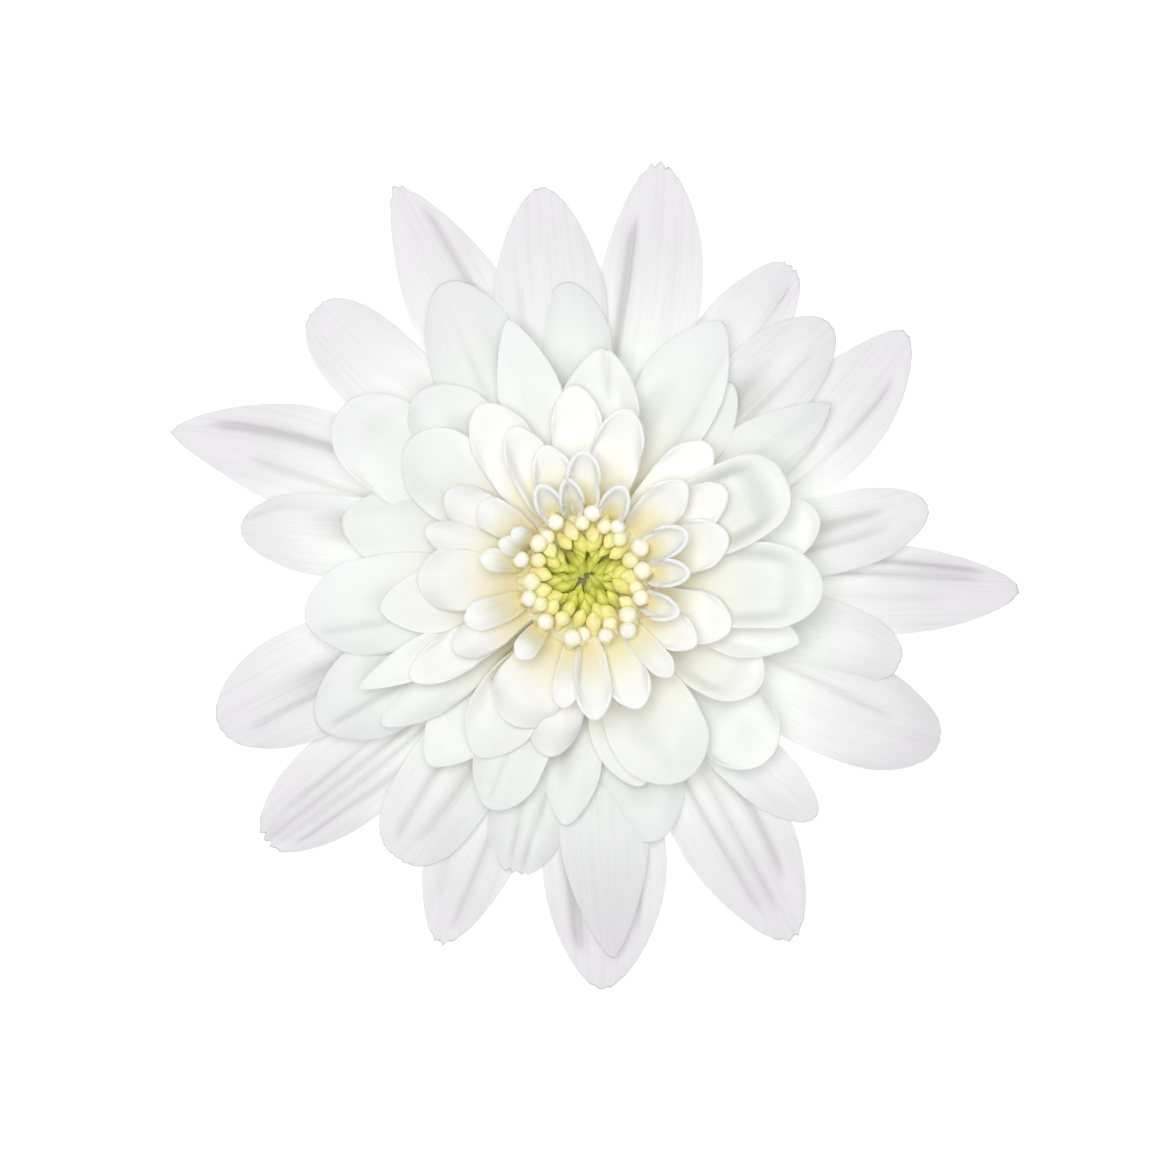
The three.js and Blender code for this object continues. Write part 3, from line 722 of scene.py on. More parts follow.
outerFlorets = [  # anticlockwise from the top
    (1.1, 96.3, 39.2, 11.1, oval, dict(bow=0.4, ribs=0.05, ribCount=9, rightEdge=-0.9,
        bumps=[(0, 0.7, 0.6, 0.25, 0.3)], grooves=[(0.55, 0.5, 0.3, 0.75, 0.3, 0.08),
        (-0.2, -0.12, 0.3, 0.8, 0.12, 0.08)])),
    (0, 115.9, 43.8, 10.2, pointed, dict(lean=-2, bow=-0.5, rightEdge=-2.4, teeth=0.008,
        grooves=[(-0.45, -0.35, 0.25, 0.95, 0.55, 0.1), (0.3, 0.2, 0.3, 0.8, 0.15, 0.08)],
        bumps=[(0.1, 0.75, 0.35, 0.25, 0.5), (0.35, 0.42, 0.35, 0.14, -0.9)])),
    (1, 135, 37.9, 9.1, blunt, dict(rightEdge=-0.9, grooves=[(0.45, 0.3, 0.25, 0.65, 0.4, 0.08)],
        bumps=[(0.1, 0.8, 0.5, 0.15, 0.6), (-0.45, 0.5, 0.35, 0.15, -1)])),
    (0, 160.6, 44, 10.6, pointed, dict(bow=-2, rightEdge=-1.1, bumps=[(0, 0.6, 0.2, 0.3, 0.3)],
        grooves=[(-0.42, -0.3, 0.2, 0.92, 0.85, 0.1), (0.35, 0.3, 0.15, 0.8, 0.45, 0.1)])),
    (1.2, 171.7, 34.5, 8.3, rounded, dict(bow=-0.5, nod=14, leftEdge=-0.9,
        grooves=[(-0.6, -0.3, 0.88, 1, 0.4, 0.15)], bumps=[(0.05, 0.85, 0.5, 0.14, 0.7),
        (-0.25, 0.6, 0.4, 0.13, -1.3)])),
    (0.8, 202.4, 39.3, 11.2, rounded, dict(bow=-1, nod=12, leftEdge=-0.8,
        grooves=[(0.2, 0.32, 0.4, 0.92, 0.5, 0.06)], bumps=[(0.02, 0.56, 0.24, 0.2, -1.7),
        (-0.2, 0.85, 0.5, 0.14, 0.5)])),
    (0, 219.5, 41.6, 9.8, rounded, dict(bow=0.2, leftEdge=-1.3, teeth=0.012,
        bumps=[(0.85, 0.6, 0.25, 0.14, -0.9)], grooves=[(-0.35, -0.2, 0.3, 1, 0.4, 0.05),
        (0, 0.02, 0.3, 1, 0.4, 0.05), (0.27, 0.22, 0.3, 1, 0.4, 0.05), (0.58, 0.5, 0.35, 0.95, 0.5, 0.06)])),
    (1.2, 236.3, 33.5, 9.6, blunt, dict(grooves=[(-0.35, -0.3, 0.5, 0.95, 0.45, 0.1),
        (0.3, 0.2, 0.4, 0.9, 0.45, 0.1)], bumps=[(0, 0.5, 0.5, 0.15, -0.6), (-0.1, 0.85, 0.4, 0.1, 0.4)])),
    (0.4, 248.4, 39.4, 9.4, oval, dict(bow=-0.6, teeth=0.01, grooves=[(0.3, 0.2, 0.4, 0.95, 0.5, 0.09),
        (-0.5, -0.35, 0.5, 0.9, 0.3, 0.08)], bumps=[(0.45, 0.75, 0.25, 0.2, 0.4)])),
    (-0.1, 272.4, 41.2, 12.4, oval, dict(bow=0.8, grooves=[(-0.65, -0.45, 0.4, 0.92, 0.8, 0.13),
        (0.62, 0.55, 0.5, 0.9, 0.3, 0.06)])),
    (1, 274.2, 38, 8.8, pointed, dict(ribs=0.05, ribCount=8, bumps=[(0, 0.75, 0.5, 0.25, 0.4)])),
    (0.3, 299.8, 41.8, 11.2, oval, dict(bow=0.4, rightEdge=-2, teeth=0.009,
        bumps=[(0.35, 0.5, 0.3, 0.1, -0.8)], grooves=[(-0.35, -0.3, 0.35, 0.9, 0.5, 0.08),
        (0.05, 0, 0.35, 0.9, 0.4, 0.07), (0.52, 0.4, 0.35, 0.85, 0.6, 0.1)])),
    (1.4, 314, 33, 6.3, rounded, dict(bow=-0.9, bumps=[(-0.4, 0.6, 0.4, 0.2, -0.5),
        (0, 0.85, 0.5, 0.1, 0.3)])),
    (-0.2, 335.6, 39.5, 10.5, rounded, dict(lean=-4, bow=-0.9, nod=18, leftEdge=-2, tipLift=-0.8,
        grooves=[(0.35, 0.12, 0.3, 0.8, 0.4, 0.1), (-0.15, -0.15, 0.4, 0.8, 0.2, 0.08)],
        bumps=[(0, 0.84, 0.5, 0.1, 0.6)])),
    (0.9, 344.7, 32.4, 7.3, blunt, dict(lean=4, bow=0.7, rightEdge=-0.9, bumps=[(0.1, 0.6, 0.5, 0.15, -0.5),
        (0, 0.85, 0.5, 0.1, 0.4)])),
    (0, 358.4, 43.5, 8.9, oval, dict(bow=-0.3, leftEdge=-1, grooves=[(0.72, 0.5, 0.45, 0.95, 0.7, 0.09),
        (0.35, 0.28, 0.4, 0.9, 0.5, 0.08), (-0.2, -0.2, 0.4, 0.8, 0.25, 0.1)])),
    (1.3, 12, 34.8, 7.8, rounded, dict(lean=-2, bow=-0.9, bumps=[(0.2, 0.6, 0.4, 0.16, -0.7)],
        grooves=[(0.3, 0.25, 0.4, 0.85, 0.45, 0.12), (-0.25, -0.2, 0.4, 0.85, 0.4, 0.12)])),
    (2, 35.3, 29.8, 7, pointed, dict(nod=8, rightEdge=-1.2, leftEdge=-0.6,
        bumps=[(0.2, 0.7, 0.25, 0.3, 0.5)])),
    (0.2, 37.7, 40.4, 10, oval, dict(lean=-12, bow=-2.4, grooves=[(-0.5, -0.4, 0.35, 0.9, 0.45, 0.05),
        (0.2, 0.15, 0.4, 0.8, 0.15, 0.1)])),
    (1.2, 46.1, 35.1, 8.8, rounded, dict(bow=0.5, bumps=[(0.1, 0.6, 0.4, 0.14, -1.4),
        (-0.1, 0.88, 0.5, 0.1, 0.4)], grooves=[(-0.3, -0.25, 0.5, 0.9, 0.3, 0.08)])),
    (0, 56.4, 37.4, 8.3, rounded, dict(bow=0.8, leftEdge=-2.4, teeth=0.008,
        grooves=[(-0.45, -0.35, 0.5, 0.95, 0.45, 0.06)], bumps=[(0.1, 0.85, 0.4, 0.12, 0.6)])),
    (0.4, 80.1, 42.4, 10.4, oval, dict(bow=-1.5, teeth=0.012, leftEdge=-0.8,
        grooves=[(0.52, 0.45, 0.3, 0.85, 0.95, 0.09), (-0.12, -0.1, 0.35, 0.9, 0.2, 0.03),
        (-0.45, -0.4, 0.4, 0.9, 0.2, 0.05)])),
]

pillow = dict(  # arched over, with a smooth rounded end
    plainHabit, nod=14.0, rim=-0.65, rimSide=0.15, rimTip=0.58, ownRoll=6.0, ownTwist=10.0, saddle=0.55,
    ribs=0.012, ruffle=0.08, thinEdge=0.7, thickness=0.3,
    cup=[(0, 62), (0.28, 24), (0.55, 2), (0.8, -14), (1, -20)])

spoon = dict(  # scooped, with its margin standing up as a lip
    plainHabit, nod=10.0, rim=1.4, rimFrom=0.38, rimTip=0.74, lip=0.6, bead=0.3, ribs=0.01, ruffle=0.06,
    thinEdge=0.7, cup=[(0, 66), (0.3, 30), (0.65, 16), (1, 10)])

middleFlorets = [  # anticlockwise from the top
    (2, 93.9, 29.5, 8, rounded, pillow, dict(lift=0.6, rim=-0.5, nod=12,
        bumps=[(0.3, 0.55, 0.4, 0.15, -0.6)])),
    (4.8, 106.7, 26.7, 6.4, pointed, pillow, dict(nod=6, rim=-0.5, leftEdge=0.3)),
    (2.8, 115.3, 32.6, 9.6, rounded, pillow, dict(bow=0.7, nod=9, rim=-0.6,
        grooves=[(0.1, 0.05, 0.5, 0.98, 0.25, 0.05)], bumps=[(-0.6, 0.55, 0.28, 0.25, -1.3)])),
    (4, 132, 25, 9, rounded, pillow, dict(rim=-1, nod=20, bumps=[(-0.35, 0.68, 0.4, 0.12, -0.8),
        (0.2, 0.88, 0.45, 0.1, 0.4)])),
    (5, 144, 22.3, 8.5, rounded, pillow, dict(rim=-1, nod=18, bumps=[(0.1, 0.8, 0.5, 0.14, 0.5)])),
    (3, 146, 28.9, 9.4, blunt, spoon, dict(rim=1, leftEdge=0.4,
        bumps=[(-0.3, 0.8, 0.4, 0.14, -0.4), (0.45, 0.8, 0.3, 0.12, 0.4)])),
    (3.8, 166.8, 25, 8, rounded, pillow, dict(rim=-1, nod=18, bow=-1,
        bumps=[(0, 0.82, 0.5, 0.14, 0.5)])),
    (5.7, 188.5, 20.6, 6.4, oval, pillow, dict(nod=8, rim=-0.8)),
    (4.5, 188.9, 28.3, 9.6, rounded, pillow, dict(rim=-1, nod=18, bow=-0.6,
        grooves=[(0.35, 0.35, 0.5, 0.98, 0.5, 0.06)], bumps=[(-0.1, 0.6, 0.3, 0.12, -0.7)])),
    (5.3, 206, 24.6, 4, pointed, spoon, dict(rim=0.5)),
    (3.3, 208.8, 30.6, 9.5, rounded, pillow, dict(rim=-0.9, nod=18, bow=-0.4,
        grooves=[(0.15, 0.2, 0.45, 0.95, 0.55, 0.07)], bumps=[(-0.5, 0.68, 0.3, 0.14, -0.8)])),
    (4.2, 215.7, 24.9, 5, oval, pillow, dict(rim=-0.6)),
    (2.8, 230, 23.8, 7.5, oval, spoon, dict(rim=0.6)),
    (4.6, 239, 20.8, 7, oval, pillow, dict(rim=-0.6, rightEdge=1.3, nod=24)),
    (3.6, 247.5, 25, 7, rounded, pillow, dict(nod=26,
        grooves=[(-0.1, -0.1, 0.5, 0.95, 0.25, 0.08)])),
    (1.8, 256.7, 30.5, 8, blunt, pillow, dict(rim=-0.5, teeth=0.015,
        grooves=[(-0.3, -0.15, 0.55, 1, 0.5, 0.08), (0.35, 0.15, 0.55, 1, 0.6, 0.07)])),
    (2.7, 265.3, 24.6, 6.2, oval, pillow, dict(rim=-0.3, leftEdge=0.5,
        bumps=[(-0.4, 0.6, 0.4, 0.2, -1)])),
    (2, 284.3, 27.3, 8.8, rounded, pillow, dict(rim=-0.6, bumps=[(0, 0.72, 0.3, 0.14, -0.8),
        (0.5, 0.7, 0.25, 0.15, 0.5)])),
    (3.2, 285, 21.2, 7, oval, spoon, dict(rim=0.2, lift=-0.6)),
    (4.1, 295, 22.3, 9.6, rounded, pillow, dict(nod=12, rim=-0.4, lift=0.4,
        grooves=[(-0.25, -0.1, 0.45, 0.98, 0.16, 0.2)], bumps=[(0.25, 0.75, 0.4, 0.16, 0.7),
        (-0.55, 0.6, 0.25, 0.2, -0.4)])),
    (2.4, 315.5, 24.3, 8.4, blunt, spoon, dict(rim=0.8, leftEdge=0.5, tipLift=2.2, tipFrom=0.74,
        lift=-0.4, bumps=[(0.1, 0.66, 0.4, 0.14, -0.8), (-0.15, 0.93, 0.4, 0.05, 0.5)])),
    (3.2, 328.5, 19.9, 7.5, rounded, spoon, dict(rim=1.2, bumps=[(0, 0.72, 0.4, 0.15, -0.6)])),
    (4, 343.4, 21.9, 6.4, pointed, spoon, dict(rim=0.5, rightEdge=1.6, edgeFrom=0.45, lift=-0.3,
        bumps=[(0.3, 0.7, 0.4, 0.2, -0.5)])),
    (4.7, 357.2, 22.8, 8.5, rounded, spoon, dict(rim=1.6, bumps=[(-0.1, 0.7, 0.4, 0.16, -0.7)])),
    (3.4, 14.3, 23.3, 7.8, rounded, spoon, {}),
    (5.3, 26.5, 21.2, 8.5, blunt, spoon, dict(rim=2, bumps=[(-0.2, 0.74, 0.45, 0.15, -0.9)])),
    (2.6, 52.5, 24.3, 6.5, oval, pillow, dict(rim=-0.6)),
    (3.3, 61.8, 28.8, 8.4, oval, pillow, dict(bow=0.4, nod=6, rim=-0.5, rightEdge=0.8,
        grooves=[(-0.55, -0.6, 0.4, 0.98, 0.3, 0.08)], bumps=[(0.4, 0.5, 0.3, 0.2, -0.8)])),
    (4, 85.5, 22.1, 7.8, oval, spoon, dict(rim=0.9, grooves=[(-0.25, -0.1, 0.7, 1, 0.5, 0.08)],
        tipLift=0.6)),
]

scoop = dict(  # open and hollow, on a rolled foot, with a thick lip whitened by painted highlight
    plainHabit, faces=(24, 30), thickness=0.3, thinEdge=0.95, lip=1.0, bead=0.36, tuck=0.8, rim=0.45,
        lift=-0.7,
    rimSide=0.6, tipLift=0.6, tipFrom=0.66, ribs=0.0, ruffle=0.05, wobble=0.2,
    cup=[(0, 18), (0.25, 38), (0.6, 25), (1, 18)])

loop = dict(  # a small tube whose mouth is a ring
    scoop, bead=0.44, rim=0.0, lift=-1.3, widestAt=0.82, nod=-8.0, tipLift=1.3, tipFrom=0.72,
    cup=[(0, 40), (0.35, 90), (0.5, 86), (0.76, 64), (1, 46)])

paddle = dict(  # rolled at the foot and domed towards the tip
    scoop, lip=0.0, bead=0.0, lift=-0.3, rim=-0.9, rimSide=0.3, nod=14.0, tipLift=0.0,
    cup=[(0, 20), (0.25, 50), (0.6, 16), (0.85, -30), (1, -36)])

innerFloretGroups = [
    [
        (8, 2, 10.3, 2.6, loop, dict(lean=2)),
        (6.2, 16, 14.5, 5, scoop, {}),
        (8, 23, 11, 3, loop, {}),
        (6.1, 32, 16.2, 4.5, scoop, {}),
        (7, 43, 13.4, 4, scoop, {}),
        (5.8, 47, 17.7, 5, scoop, {}),
    ],
    [
        (8, 67, 9.8, 2.7, loop, {}),
        (6.5, 76, 16.8, 4.8, scoop, dict(tipLift=1.2, rightEdge=0.5)),
        (8, 91, 12.4, 3.2, loop, {}),
        (5.6, 93, 18.7, 5, scoop, {}),
        (8, 101, 9.9, 2.3, loop, {}),
        (7, 107, 13.4, 3.8, scoop, dict(leftEdge=0.8)),
        (6.5, 116, 16.2, 4.2, scoop, dict(leftEdge=0.6)),
        (8, 116.5, 10.2, 2.5, loop, {}),
        (5.9, 121.4, 19.6, 6, scoop, {}),
    ],
    [
        (7, 145, 12.7, 3.4, paddle, {}),
        (8, 147, 8.6, 1.8, paddle, {}),
        (6, 149, 16.2, 4.4, paddle, {}),
        (8, 157, 9.2, 1.9, paddle, {}),
        (6.3, 163, 16.5, 3.2, paddle, {}),
        (8, 169, 10.5, 2.3, paddle, dict(lean=-2, grooves=[(0, 0, 0.6, 0.9, 0.12, 0.15)])),
    ],
    [
        (6.8, 180.5, 16.7, 6, paddle, dict(lean=3)),
        (8, 200, 12.6, 3, paddle, dict(grooves=[(-0.2, -0.2, 0.4, 0.8, 0.25, 0.15)])),
        (7, 209, 14.8, 3.6, paddle, {}),
        (6, 210, 19.6, 4.2, scoop, {}),
        (8, 230, 10.3, 2.4, paddle, dict(lean=-2)),
    ],
    [
        (6, 242.5, 16.4, 7, paddle, dict(lean=4)),
        (7.2, 260, 13, 2.6, paddle, {}),
        (5.4, 258.5, 18.2, 5.2, paddle, dict(lift=-0.7)),
        (7.4, 274, 13.8, 3.6, scoop, {}),
        (6.7, 293, 13.7, 4.2, scoop, dict(leftEdge=0.6)),
    ],
    [
        (7.4, 311, 12.9, 2.6, paddle, dict(lean=2)),
        (7, 329, 12.6, 3.6, scoop, {}),
        (5.7, 340.6, 15, 5, scoop, {}),
        (8, 340, 9.9, 2.5, loop, dict(lean=-2)),
    ],
]


def coveredSides(florets, own):
    # how much of its rim a floret keeps on its left and right, where a higher neighbour lies on it
    higher, nearest, farthest = headShape["coveredBy"]
    keeps = [1.0, 1.0]
    for other in florets:
        step = (other[1] - own[1] + 180) % 360 - 180
        if other[0] > own[0] + higher and nearest < abs(step) < farthest:
            keeps[0 if step > 0 else 1] = headShape["coveredRim"]
    return tuple(keeps)


def growOuterFlorets():
    for k, (*place, changes) in enumerate(outerFlorets):
        sheet = bladeSheet(floretBlade(k, *place, outerHabit, changes))
        petal = makePiece(f"outer_petal_{k + 1:02d}", [sheet], outerPetal, 0.61 * k)
        settle(petal, f"outer_ray_floret_{k + 1:02d}")


def growMiddleFlorets():
    for k, (*place, changes) in enumerate(middleFlorets):
        changes = {"sideRims": coveredSides(middleFlorets, place), **changes}
        sheet = bladeSheet(floretBlade(100 + k, *place, changes))
        petal = makePiece(f"middle_petal_{k + 1:02d}", [sheet], middlePetal, 0.47 * k)
        settle(petal, f"middle_ray_floret_{k + 1:02d}")


def growInnerFlorets():
    for k, florets in enumerate(innerFloretGroups):
        sheets = []
        for j, (level, azimuth, reach, width, habit, changes) in enumerate(florets):
            place = (level, azimuth, reach, width, rounded, habit)
            changes = {"sideRims": coveredSides(sum(innerFloretGroups, []), place), **changes}
            footLevel = headShape["innerFootLevel"] + headShape["innerFootRise"] * (level - 7)
            sheets.append(bladeSheet(floretBlade(200 + 10 * k + j, *place, changes, footLevel)))
        petals = makePiece(f"inner_petals_{k + 1}", sheets, innerPetal, 0.83 * k)
        settle(petals, f"inner_ray_florets_{k + 1}")


growOuterFlorets()
growMiddleFlorets()
growInnerFlorets()
print("petals grown")


# Geometry Nodes for what repeats round the axis

class CopyMaker(GroupMaker):
    # a tree that sets copies of one shape on points, each a little different
    def __init__(self, name, inputs):
        inputs = {"Object": ["Shape"], "Material": ["Material"], **inputs}
        super().__init__(name, "GeometryNodeTree", inputs, {"Geometry": ["Geometry"]})
        self.number = self.first("GeometryNodeInputIndex")
        self.draws = 0

    def between(self, share, low, high):
        return self.maths("MULTIPLY_ADD", share, self.maths("SUBTRACT", high, low), low)

    def chance(self, low, high):
        # each draw has a seed of its own, counted on from the tree's
        seed = self.entry["Seed"]
        if self.draws:
            seed = self.maths("ADD", seed, self.draws)
        self.draws += 1
        values = {2: low, 3: high, "ID": self.number, "Seed": seed}
        return self.add("FunctionNodeRandomValue", values, data_type="FLOAT").outputs[1]

    def either(self, most):
        return self.maths("MULTIPLY", self.chance(-1, 1), most)

    def copies(self, place, turn, size):
        points = self.first("GeometryNodePoints", {"Count": self.entry["Count"], "Position": place})
        values = {"Object": self.entry["Shape"]}
        shape = self.add("GeometryNodeObjectInfo", values, transform_space="ORIGINAL").outputs["Geometry"]
        spin = self.first("FunctionNodeEulerToRotation", {0: turn})
        values = {"Points": points, "Instance": shape, "Rotation": spin, "Scale": size}
        placed = self.first("GeometryNodeInstanceOnPoints", values)
        real = self.first("GeometryNodeRealizeInstances", {0: placed})
        values = {"Geometry": real, "Material": self.entry["Material"]}
        self.plug(self.leave, {0: self.first("GeometryNodeSetMaterial", values)})

    def grown(self, name, values):
        # the plain mesh that the tree makes with these values
        host = newObject(name, bpy.data.meshes.new(name))
        modifier = host.modifiers.new("grow", "NODES")
        modifier.node_group = self.tree
        for label, value in values.items():
            modifier[self.sockets[label]] = value
        evaluated = host.evaluated_get(bpy.context.evaluated_depsgraph_get())
        mesh = bpy.data.meshes.new_from_object(evaluated)
        mesh.name = name
        host.modifiers.clear()
        host.data = mesh
        mesh.polygons.foreach_set("use_smooth", np.ones(len(mesh.polygons), bool))
        return host


def whorlTree():
    # florets on the golden angle, filling a disc from its first number to its last
    maker = CopyMaker("golden angle whorl", {
        "Int": ["Count", "First", "Total", "Seed"],
        "Float": ["Hollow Radius", "Rim Radius", "Crowding", "Centre Height", "Rim Height", "Spread",
                  "Inner Lean", "Outer Lean", "Inner Size", "Outer Size"],
    })
    take = maker.entry
    maths = maker.maths
    maker.number = number = maths("ADD", maker.number, take["First"])
    share = maths("DIVIDE", maths("ADD", number, 0.5), take["Total"])
    goldenAngle = math.pi * (3 - math.sqrt(5))
    angle = maths("ADD", maths("MULTIPLY", number, goldenAngle), maker.chance(-0.09, 0.09))
    outwards = maths("POWER", share, take["Crowding"])
    radius = maker.between(outwards, take["Hollow Radius"], take["Rim Radius"])
    radius = maths("ADD", radius, maker.either(take["Spread"]))
    height = maker.between(share, take["Centre Height"], take["Rim Height"])
    height = maths("ADD", height, maker.either(take["Spread"]))
    x = maths("ADD", maths("MULTIPLY", maths("COSINE", angle), radius), axisX * mm)
    y = maths("ADD", maths("MULTIPLY", maths("SINE", angle), radius), axisY * mm)
    lean = maker.between(maths("POWER", share, 2.0), take["Inner Lean"], take["Outer Lean"])
    lean = maths("ADD", lean, maker.chance(-0.08, 0.08))
    turn = maker.vector(0.0, maths("MULTIPLY", lean, -1), maths("ADD", angle, maker.chance(-0.25, 0.25)))
    size = maker.between(share, take["Inner Size"], take["Outer Size"])
    size = maths("MULTIPLY", size, maker.chance(0.9, 1.1))
    maker.copies(maker.vector(x, y, height), turn, maker.vector(size, size, size))
    return maker


def tubeSheet(rings, along):
    # a closed skin through rings of points, along being each ring's share of the length
    count, sides = rings.shape[:2]
    grid = np.arange(count * sides).reshape(count, sides)
    faces = quads(np.column_stack([grid, grid[:, 0]]))
    uvs = np.column_stack([np.tile(np.arange(sides) / sides, count), np.repeat(along, sides)])
    return rings.reshape(-1, 3), faces, uvs, np.zeros(count * sides), np.zeros(count * sides)


def budSheet(length, profile, sides, bend, flat):
    # a closed floret on its foot at the origin: profile is (share of length, radius) from foot to tip
    even = np.linspace(0, 1, 15)
    along = 0.5 * even + 0.5 * np.sin(even * math.pi / 2)
    radius = np.interp(along, *zip(*profile))
    radius[[0, -1]] = 0  # poles
    angles = np.arange(sides) * 2 * math.pi / sides
    lobes = 0.035 * np.cos(5 * angles)  # five closed lobes that meet at the tip
    radius = radius[:, None] * (1 + lobes * smooth(along, 0.3, 0.8)[:, None])
    x = radius * np.cos(angles) * flat - bend * along[:, None] ** 2
    z = np.repeat(along[:, None] * length, sides, axis=1)
    points, faces, *rest = tubeSheet(np.stack([x, radius * np.sin(angles), z], axis=-1), along)
    return points, np.roll(faces[:, ::-1], 1, axis=1), *rest


def latheSheet(profile, sides, ridges=0, ridgeDepth=0.0, ridgeTop=0.0):
    # a closed body turned round the flower's axis, from (radius, height) pairs from its top down
    angles = np.arange(sides) * 2 * math.pi / sides
    radii, heights = np.array(profile).T[..., None]
    ridged = smooth(heights, ridgeTop, ridgeTop - 1.5) * smooth(radii, 0.5, 1.5)
    radii = radii + ridgeDepth * np.cos(ridges * angles) * ridged
    x = axisX + radii * np.cos(angles)
    y = axisY + radii * np.sin(angles)
    z = np.repeat(heights, sides, axis=1)
    return tubeSheet(np.stack([x, y, z], axis=-1), np.linspace(0, 1, len(profile)))


discShape = {
    "hollowRadius": 1.95,  # where the feet of the innermost florets stand, leaning over the sunk middle
    "rimRadius": 7.3,
    "crowding": 0.8,
    "total": 88,
    "heights": (14.2, 15.1),
    "leans": (1.25, 0.38),
    "cushion": [(0, 14), (2.2, 14.3), (4, 14.9), (5.5, 15), (6.1, 14.6), (6.6, 13.9), (6.75, 13.3),
                (6.4, 12.8), (4.9, 12.7), (0, 12.7)],
    # each kind: first and count, length, bend, flatness, profile, and sizes from the inside outwards
    "kinds": [
        dict(
            name="disc_green_florets", first=0, count=40, length=2.5, bend=0.3, flat=0.62,
            profile=[(0, 0.28), (0.25, 0.5), (0.45, 0.6), (0.62, 0.54), (0.78, 0.37), (0.9, 0.19), (1, 0.02)],
            sizes=(0.88, 1.25), spread=0.08, seed=3, finish=waxyDisc),
        dict(
            name="disc_cream_drops", first=40, count=22, length=2.7, bend=0.25, flat=0.75,
            profile=[(0, 0.3), (0.25, 0.48), (0.5, 0.67), (0.66, 0.68), (0.81, 0.5), (0.92, 0.26), (1, 0.03)],
            sizes=(0.9, 1.18), spread=0.12, seed=7, finish=creamDisc),
        dict(
            name="disc_white_knobs", first=62, count=26, length=2.6, bend=0.2, flat=0.92,
            profile=[(0, 0.3), (0.3, 0.46), (0.5, 0.68), (0.66, 0.8), (0.8, 0.7), (0.92, 0.4), (1, 0.05)],
            sizes=(0.8, 1.1), spread=0.25, seed=11, finish=creamDisc),
    ],
}


def growDisc():
    maker = whorlTree()
    cushion = makePiece("disc_cushion", [latheSheet(discShape["cushion"], 40)], discFlesh)
    settle(cushion, "disc_florets")
    (centreHeight, rimHeight), (innerLean, outerLean) = discShape["heights"], discShape["leans"]
    for kind in discShape["kinds"]:
        bud = budSheet(kind["length"], kind["profile"], 20, kind["bend"], kind["flat"])
        shape = makePiece("floret shape", [bud], kind["finish"])
        innerSize, outerSize = kind["sizes"]
        florets = maker.grown(kind["name"], {
            "Shape": shape, "Material": kind["finish"], "Seed": kind["seed"], "Spread": kind["spread"] * mm,
            "Count": kind["count"], "First": kind["first"], "Total": discShape["total"],
            "Hollow Radius": discShape["hollowRadius"] * mm, "Rim Radius": discShape["rimRadius"] * mm,
            "Centre Height": centreHeight * mm, "Rim Height": rimHeight * mm,
            "Crowding": discShape["crowding"], "Inner Lean": innerLean, "Outer Lean": outerLean,
            "Inner Size": innerSize, "Outer Size": outerSize,
        })
        bpy.data.objects.remove(shape)
        settle(florets)


growDisc()
print("disc grown")


# Stem and bracts

stemShape = {
    "profile": [(0, 13.6), (4.4, 13.5), (4.9, 13.3), (5.7, 10.7), (6.5, 8.1), (5.9, 7.4), (4.9, 6.6),
                (3.4, 5.4), (2.4, 4.75), (1.95, 4.2), (1.8, 3.4), (1.73, 2.4), (1.7, 1.4), (1.72, 0.5),
                (1.68, 0.15), (1.55, 0.02), (1.2, 0), (0.7, 0.01), (0, 0.02)],
    "ridges": (8, 0.13, 5.0),  # their number, depth, and height where they fade
}

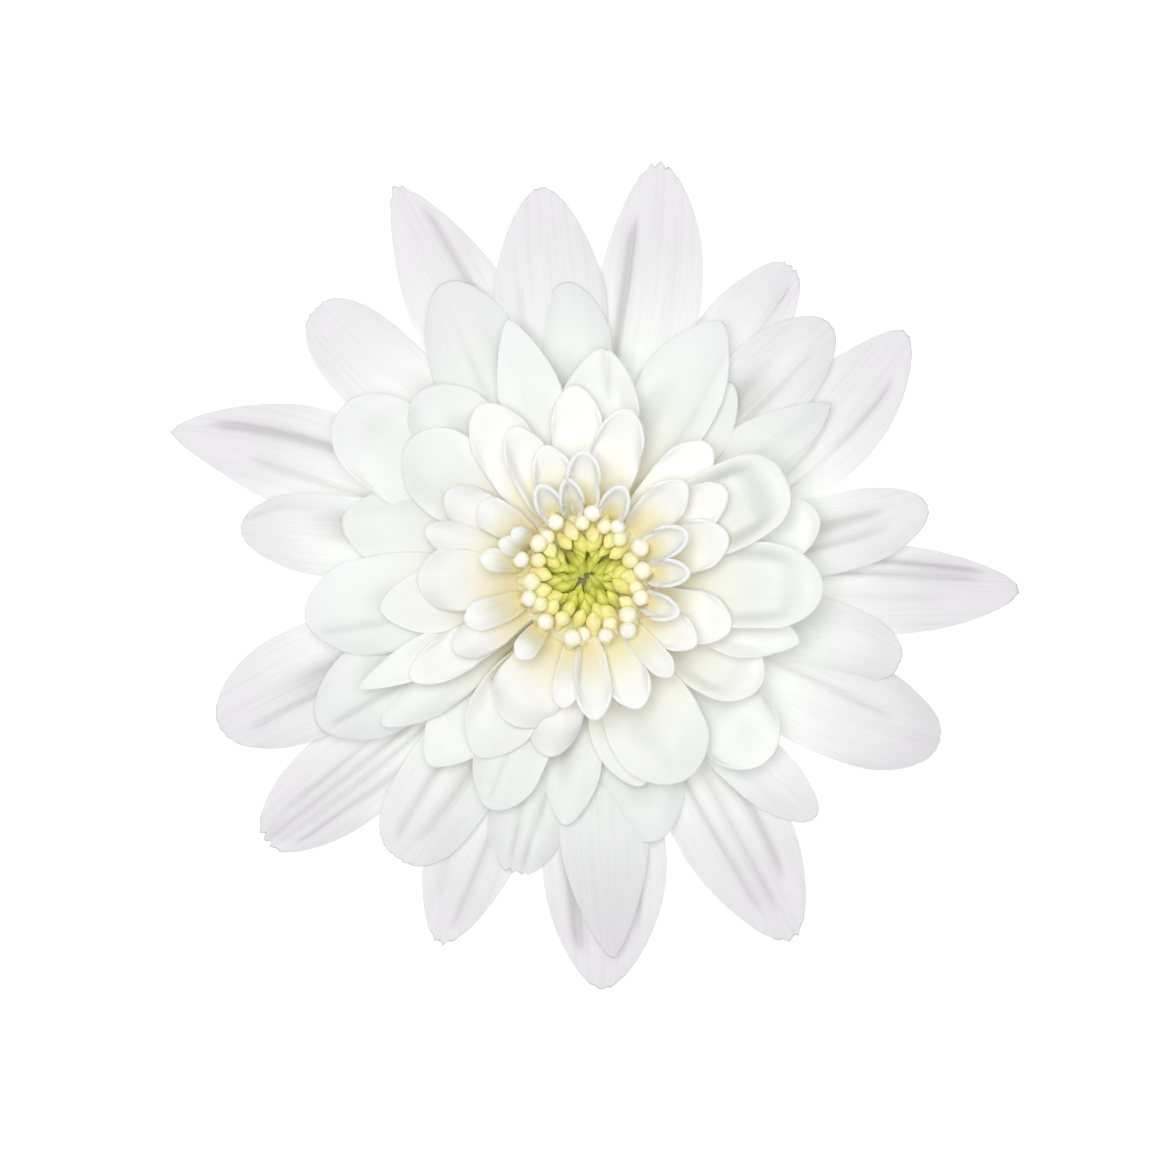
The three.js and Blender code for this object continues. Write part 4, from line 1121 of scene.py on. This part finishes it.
bractShape = {
    "count": 10,
    "collar": [(2, 5.6), (4, 5.5), (4, 4.9), (3.2, 4.05), (2.25, 3.85), (1.6, 3.9), (1.6, 5.4), (2, 5.6)],
    # each row: start and finish as (radius, height), width, turn as a share of a bract, and seed
    "rows": [
        dict(start=(3.0, 4.4), finish=(8.6, 6.1), width=2.9, turn=0.0, seed=2),
        dict(start=(3.5, 5.0), finish=(9.8, 7.2), width=3.4, turn=0.5, seed=5),
    ],
    "swing": 0.07,
    "tilt": 0.025,
    "leastSize": 0.92,
    "blade": dict(
        plainHabit, faces=(16, 20), launch=math.radians(34), arrival=math.radians(4), tip=pointed, phase=1.0,
        toothPlace=0.0, claw=0.5, thickness=0.34, ribCount=3, ribs=0.05, ruffle=0.08,
        cup=[(0, 50), (0.4, 22), (1, 12)], bumps=[(0, 0.5, 0.16, 0.5, -0.12)]),
}


def ringTree():
    # bracts set evenly round the flower's axis
    maker = CopyMaker("ring of bracts", {
        "Int": ["Count", "Seed"],
        "Float": ["Turn", "Swing", "Tilt", "Least Size"],
    })
    take = maker.entry
    share = maker.maths("DIVIDE", maker.maths("ADD", maker.number, take["Turn"]), take["Count"])
    angle = maker.maths("MULTIPLY_ADD", share, 2 * math.pi, maker.either(take["Swing"]))
    turn = maker.vector(0.0, maker.either(take["Tilt"]), angle)
    size = maker.chance(take["Least Size"], 1.0)
    maker.copies(maker.vector(axisX * mm, axisY * mm), turn, maker.vector(size, size, 1.0))
    return maker


def growStem():
    stem = makePiece("stem_stub", [latheSheet(stemShape["profile"], 64, *stemShape["ridges"])], stemGreen)
    settle(stem, "stem_and_receptacle")


def growBracts():
    maker = ringTree()
    collar = makePiece("bract_collar", [latheSheet(bractShape["collar"], 40)], bractGreen)
    settle(collar, "bracts")
    for k, row in enumerate(bractShape["rows"]):
        start, finish = (np.array([radius, 0.0, height]) for radius, height in (row["start"], row["finish"]))
        blade = {**bractShape["blade"], "start": start, "finish": finish, "width": row["width"]}
        shape = makePiece("bract shape", [bladeSheet(blade)], bractGreen)
        bracts = maker.grown(f"bract_row_{k + 1}", {
            "Shape": shape, "Material": bractGreen, "Count": bractShape["count"], "Seed": row["seed"],
            "Turn": row["turn"], "Swing": bractShape["swing"], "Tilt": bractShape["tilt"],
            "Least Size": bractShape["leastSize"],
        })
        bpy.data.objects.remove(shape)
        settle(bracts)


growStem()
growBracts()
print("stem and bracts grown")
